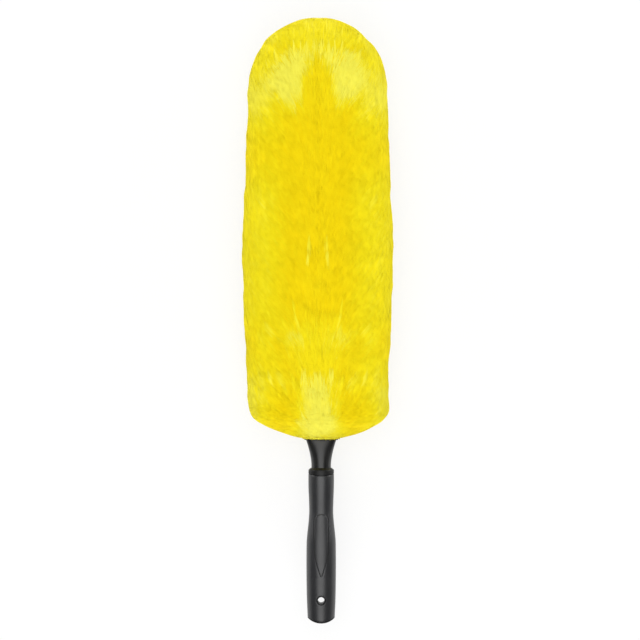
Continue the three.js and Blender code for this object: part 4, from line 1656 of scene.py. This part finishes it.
def mouth_fringe():
    """Short fibres of the lowest row that hang over the elastic, longest at front and back."""
    angle = dice.uniform(0, 2 * math.pi, FRINGE_FIBRES)
    wave = np.sin(angle * 9 + 1) + np.sin(angle * 23 + 2)
    low = FRINGE_DROP + FRINGE_WAVE * wave + dice.normal(0, FRINGE_STRAY, FRINGE_FIBRES)
    low = low * (1 - FRINGE_SIDE_SHARE * np.cos(angle) ** 8)
    half_width, half_depth = head_section(MOUTH_Y)
    inner = np.stack(rim(angle, BLADE_HALF + INNER_SIDE, half_depth - INNER_FRONT, PILE_POWER))
    outer = np.stack(rim(angle, half_width - OUTER_SIDE, half_depth + OUTER_FRONT, PILE_POWER))
    start = dice.uniform(*FRINGE_STARTS, FRINGE_FIBRES)
    line = []
    for back in RINGS_BACK:
        share = start * (1 - 0.3 * back) * np.sqrt(1 - back * 0.8)
        x, z = inner + (outer - inner) * share
        y = MOUTH_Y - low * (1 - back) + FRINGE_RISE * back
        line.append(np.stack([x, y, AXIS_Z + z], axis=-1))
    line = np.stack(line, axis=1)
    outward = unit(line * [1, 0, 1] - [0, FRINGE_TILT, AXIS_Z])
    points, normals = taper(line, outward, dice.uniform(*FRINGE_THICKNESSES, FRINGE_FIBRES))
    stray = dice.normal(0, FRINGE_TONE, FRINGE_FIBRES)
    place = np.stack([angle / (2 * math.pi), start], axis=-1)[:, None]
    return {
        "points": points,
        "normals": normals,
        "map": np.clip(place + points[..., :2] % MAP_PATCH, 0, 1),
        "tone": fibre_tone(0, line[:, -1, 0], line[:, -1, 1]) + stray,
    }


total = fibre_piece("mouth_fringe", mouth_fringe(), 0)

# %% [markdown]
# ## Every row, from the mouth to the crown
#
# A row is too heavy for one mesh, so it is parted into front and back, and the long first row
# once more, low and high. Each piece rides on the sleeve, so the whole pile comes off with it.


# %% Make every row
def row_parts(row, made):
    """Name and fibres of each piece of a row."""
    tips = made["line"][:, -1, 1]
    low = tips < np.median(tips)
    for name, keep in (("front", made["front"]), ("back", ~made["front"])):
        if row:
            yield name, keep
        else:
            yield f"{name}_low", keep & low
            yield f"{name}_high", keep & ~low


for row in range(ROWS):
    made = row_fibres(row)
    for name, keep in row_parts(row, made):
        total += fibre_piece(f"row_{row + 1}_{name}", made, row, keep)
print(total, "fibres so far")

# %% [markdown]
# ## Pale strands on top
#
# A few thin wisps in the photograph lie over the rest and catch the light: beside the middle line,
# round the pale tufts and at the crown. They are too fine for a change of tone, so each is a small
# bundle of fibres of its own, laid on top, once on the left and once on the right. Their pale tone
# is painted sheen, the light that these wisps catch.

# %% Pale strands that lie on top
# Row, x and y of the root end and of the tip, half the width, all in mm, and the tone,
# which is painted sheen
STRANDS = [
    (2, 10, 46, 9.5, 66, 2.6, 0.72),
    (2, 9, 60, 9, 82, 2.2, 0.62),
    (1, 14, -20, 24, 7, 1.2, 0.6),
    (1, 20, -2, 25, 18, 1.0, 0.5),
    (1, 34, -26, 54, -3, 1.1, 0.6),
    (1, 22, -32, 36, -18, 5.0, 0.45),
    (0, 40, -70, 50, -52, 1.0, 0.75),
    (0, 18, -80, 26, -56, 1.6, 0.45),
    (0, 2, -72, 2, -51, 3.0, 0.85),
    (0, 13, -74, 13.5, -50, 5.0, 0.9),
    (3, 44, 104, 60, 122, 1.1, 0.6),
    (3, 38, 108, 49, 124, 1.2, 0.5),
    (3, 50, 98, 62, 112, 1.6, 0.5),
    (5, 4, 260, 3.5, 277, 2.5, 0.8),
    (5, 11, 258, 10.5, 276, 2.5, 0.8),
    (5, 19, 252, 17, 276, 1.0, 0.85),
    (5, 23, 256, 24.5, 276, 1.2, 0.85),
    (5, 35, 248, 44, 268, 1.3, 0.8),
    (6, 10, 282, 8.5, 298, 1.0, 0.7),
    (6, 13, 284, 11, 299, 0.8, 0.65),
    (6, 23, 278, 25, 291, 0.8, 0.6),
    (6, 38, 272, 44, 286, 1.5, 0.6),
]
STRAND_FIBRES = 16
STRAND_ROOT_DEPTH = 3.2 * MM
STRAND_LAYER = 0.3 * MM
STRAND_TONE = 0.08
STRAND_SPREAD = 0.5
STRAND_SLIDE = 4
STRAND_TIP_SHARE = 0.6
SIDE_LIMIT = 0.98
print(len(STRANDS), "pairs of strands of", STRAND_FIBRES, "fibres")


# %% Lay the strands
def pale_strands(row):
    """The fibres of the row's pale strands, on the front, left and right of the middle."""
    roots, tips, tones = [], [], []
    own = [strand[1:] for strand in STRANDS if strand[0] == row]
    for root_x, root_y, tip_x, tip_y, half_wide, tone in own:
        for to_right in (-1, 1):
            across = dice.normal(0, STRAND_SPREAD, STRAND_FIBRES) * half_wide
            slide = dice.uniform(-STRAND_SLIDE, STRAND_SLIDE, STRAND_FIBRES)
            roots.append(np.stack([to_right * (root_x + across), root_y + slide], axis=-1))
            tip_across = tip_x + STRAND_TIP_SHARE * across
            tips.append(np.stack([to_right * tip_across, tip_y + slide], axis=-1))
            tones.append(tone + dice.normal(0, STRAND_TONE, STRAND_FIBRES))
    roots, tips = np.concatenate(roots) * MM, np.concatenate(tips) * MM
    place = tips[:, None] + (roots - tips)[:, None] * RINGS_BACK[None, :, None]
    path = np.interp(place[..., 1], path_y, path_at)
    share = np.abs(place[..., 0]) / np.interp(path, path_at, path_wide)
    share = np.clip(share, 0, SIDE_LIMIT)
    angle = np.arccos(np.sign(place[..., 0]) * share ** (PILE_POWER / 2))
    layer = dice.uniform(0, STRAND_LAYER, len(roots))[:, None]
    made = laid_fibres(row, angle, path, layer + STRAND_ROOT_DEPTH * RINGS_BACK**3)
    made["tone"] = np.concatenate(tones)
    return made


for row in sorted({strand[0] for strand in STRANDS}):
    total += fibre_piece(f"row_{row + 1}_strands", pale_strands(row), row)
print(total, "fibres in all")

# %% [markdown]
# ## Measure and finish
#
# The looks must not make the duster bigger than its solids, but for the little that loose fibre may
# stand proud. The box of the solids and the box of all that is seen are gathered side by side, and
# the second is printed.

# %% Measure and finish
low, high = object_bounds()
sizes = {"cad": [list(cad_low), list(cad_high)], "visual": [list(low), list(high)]}
print("visual box", [round(v, 4) for v in low], [round(v, 4) for v in high])
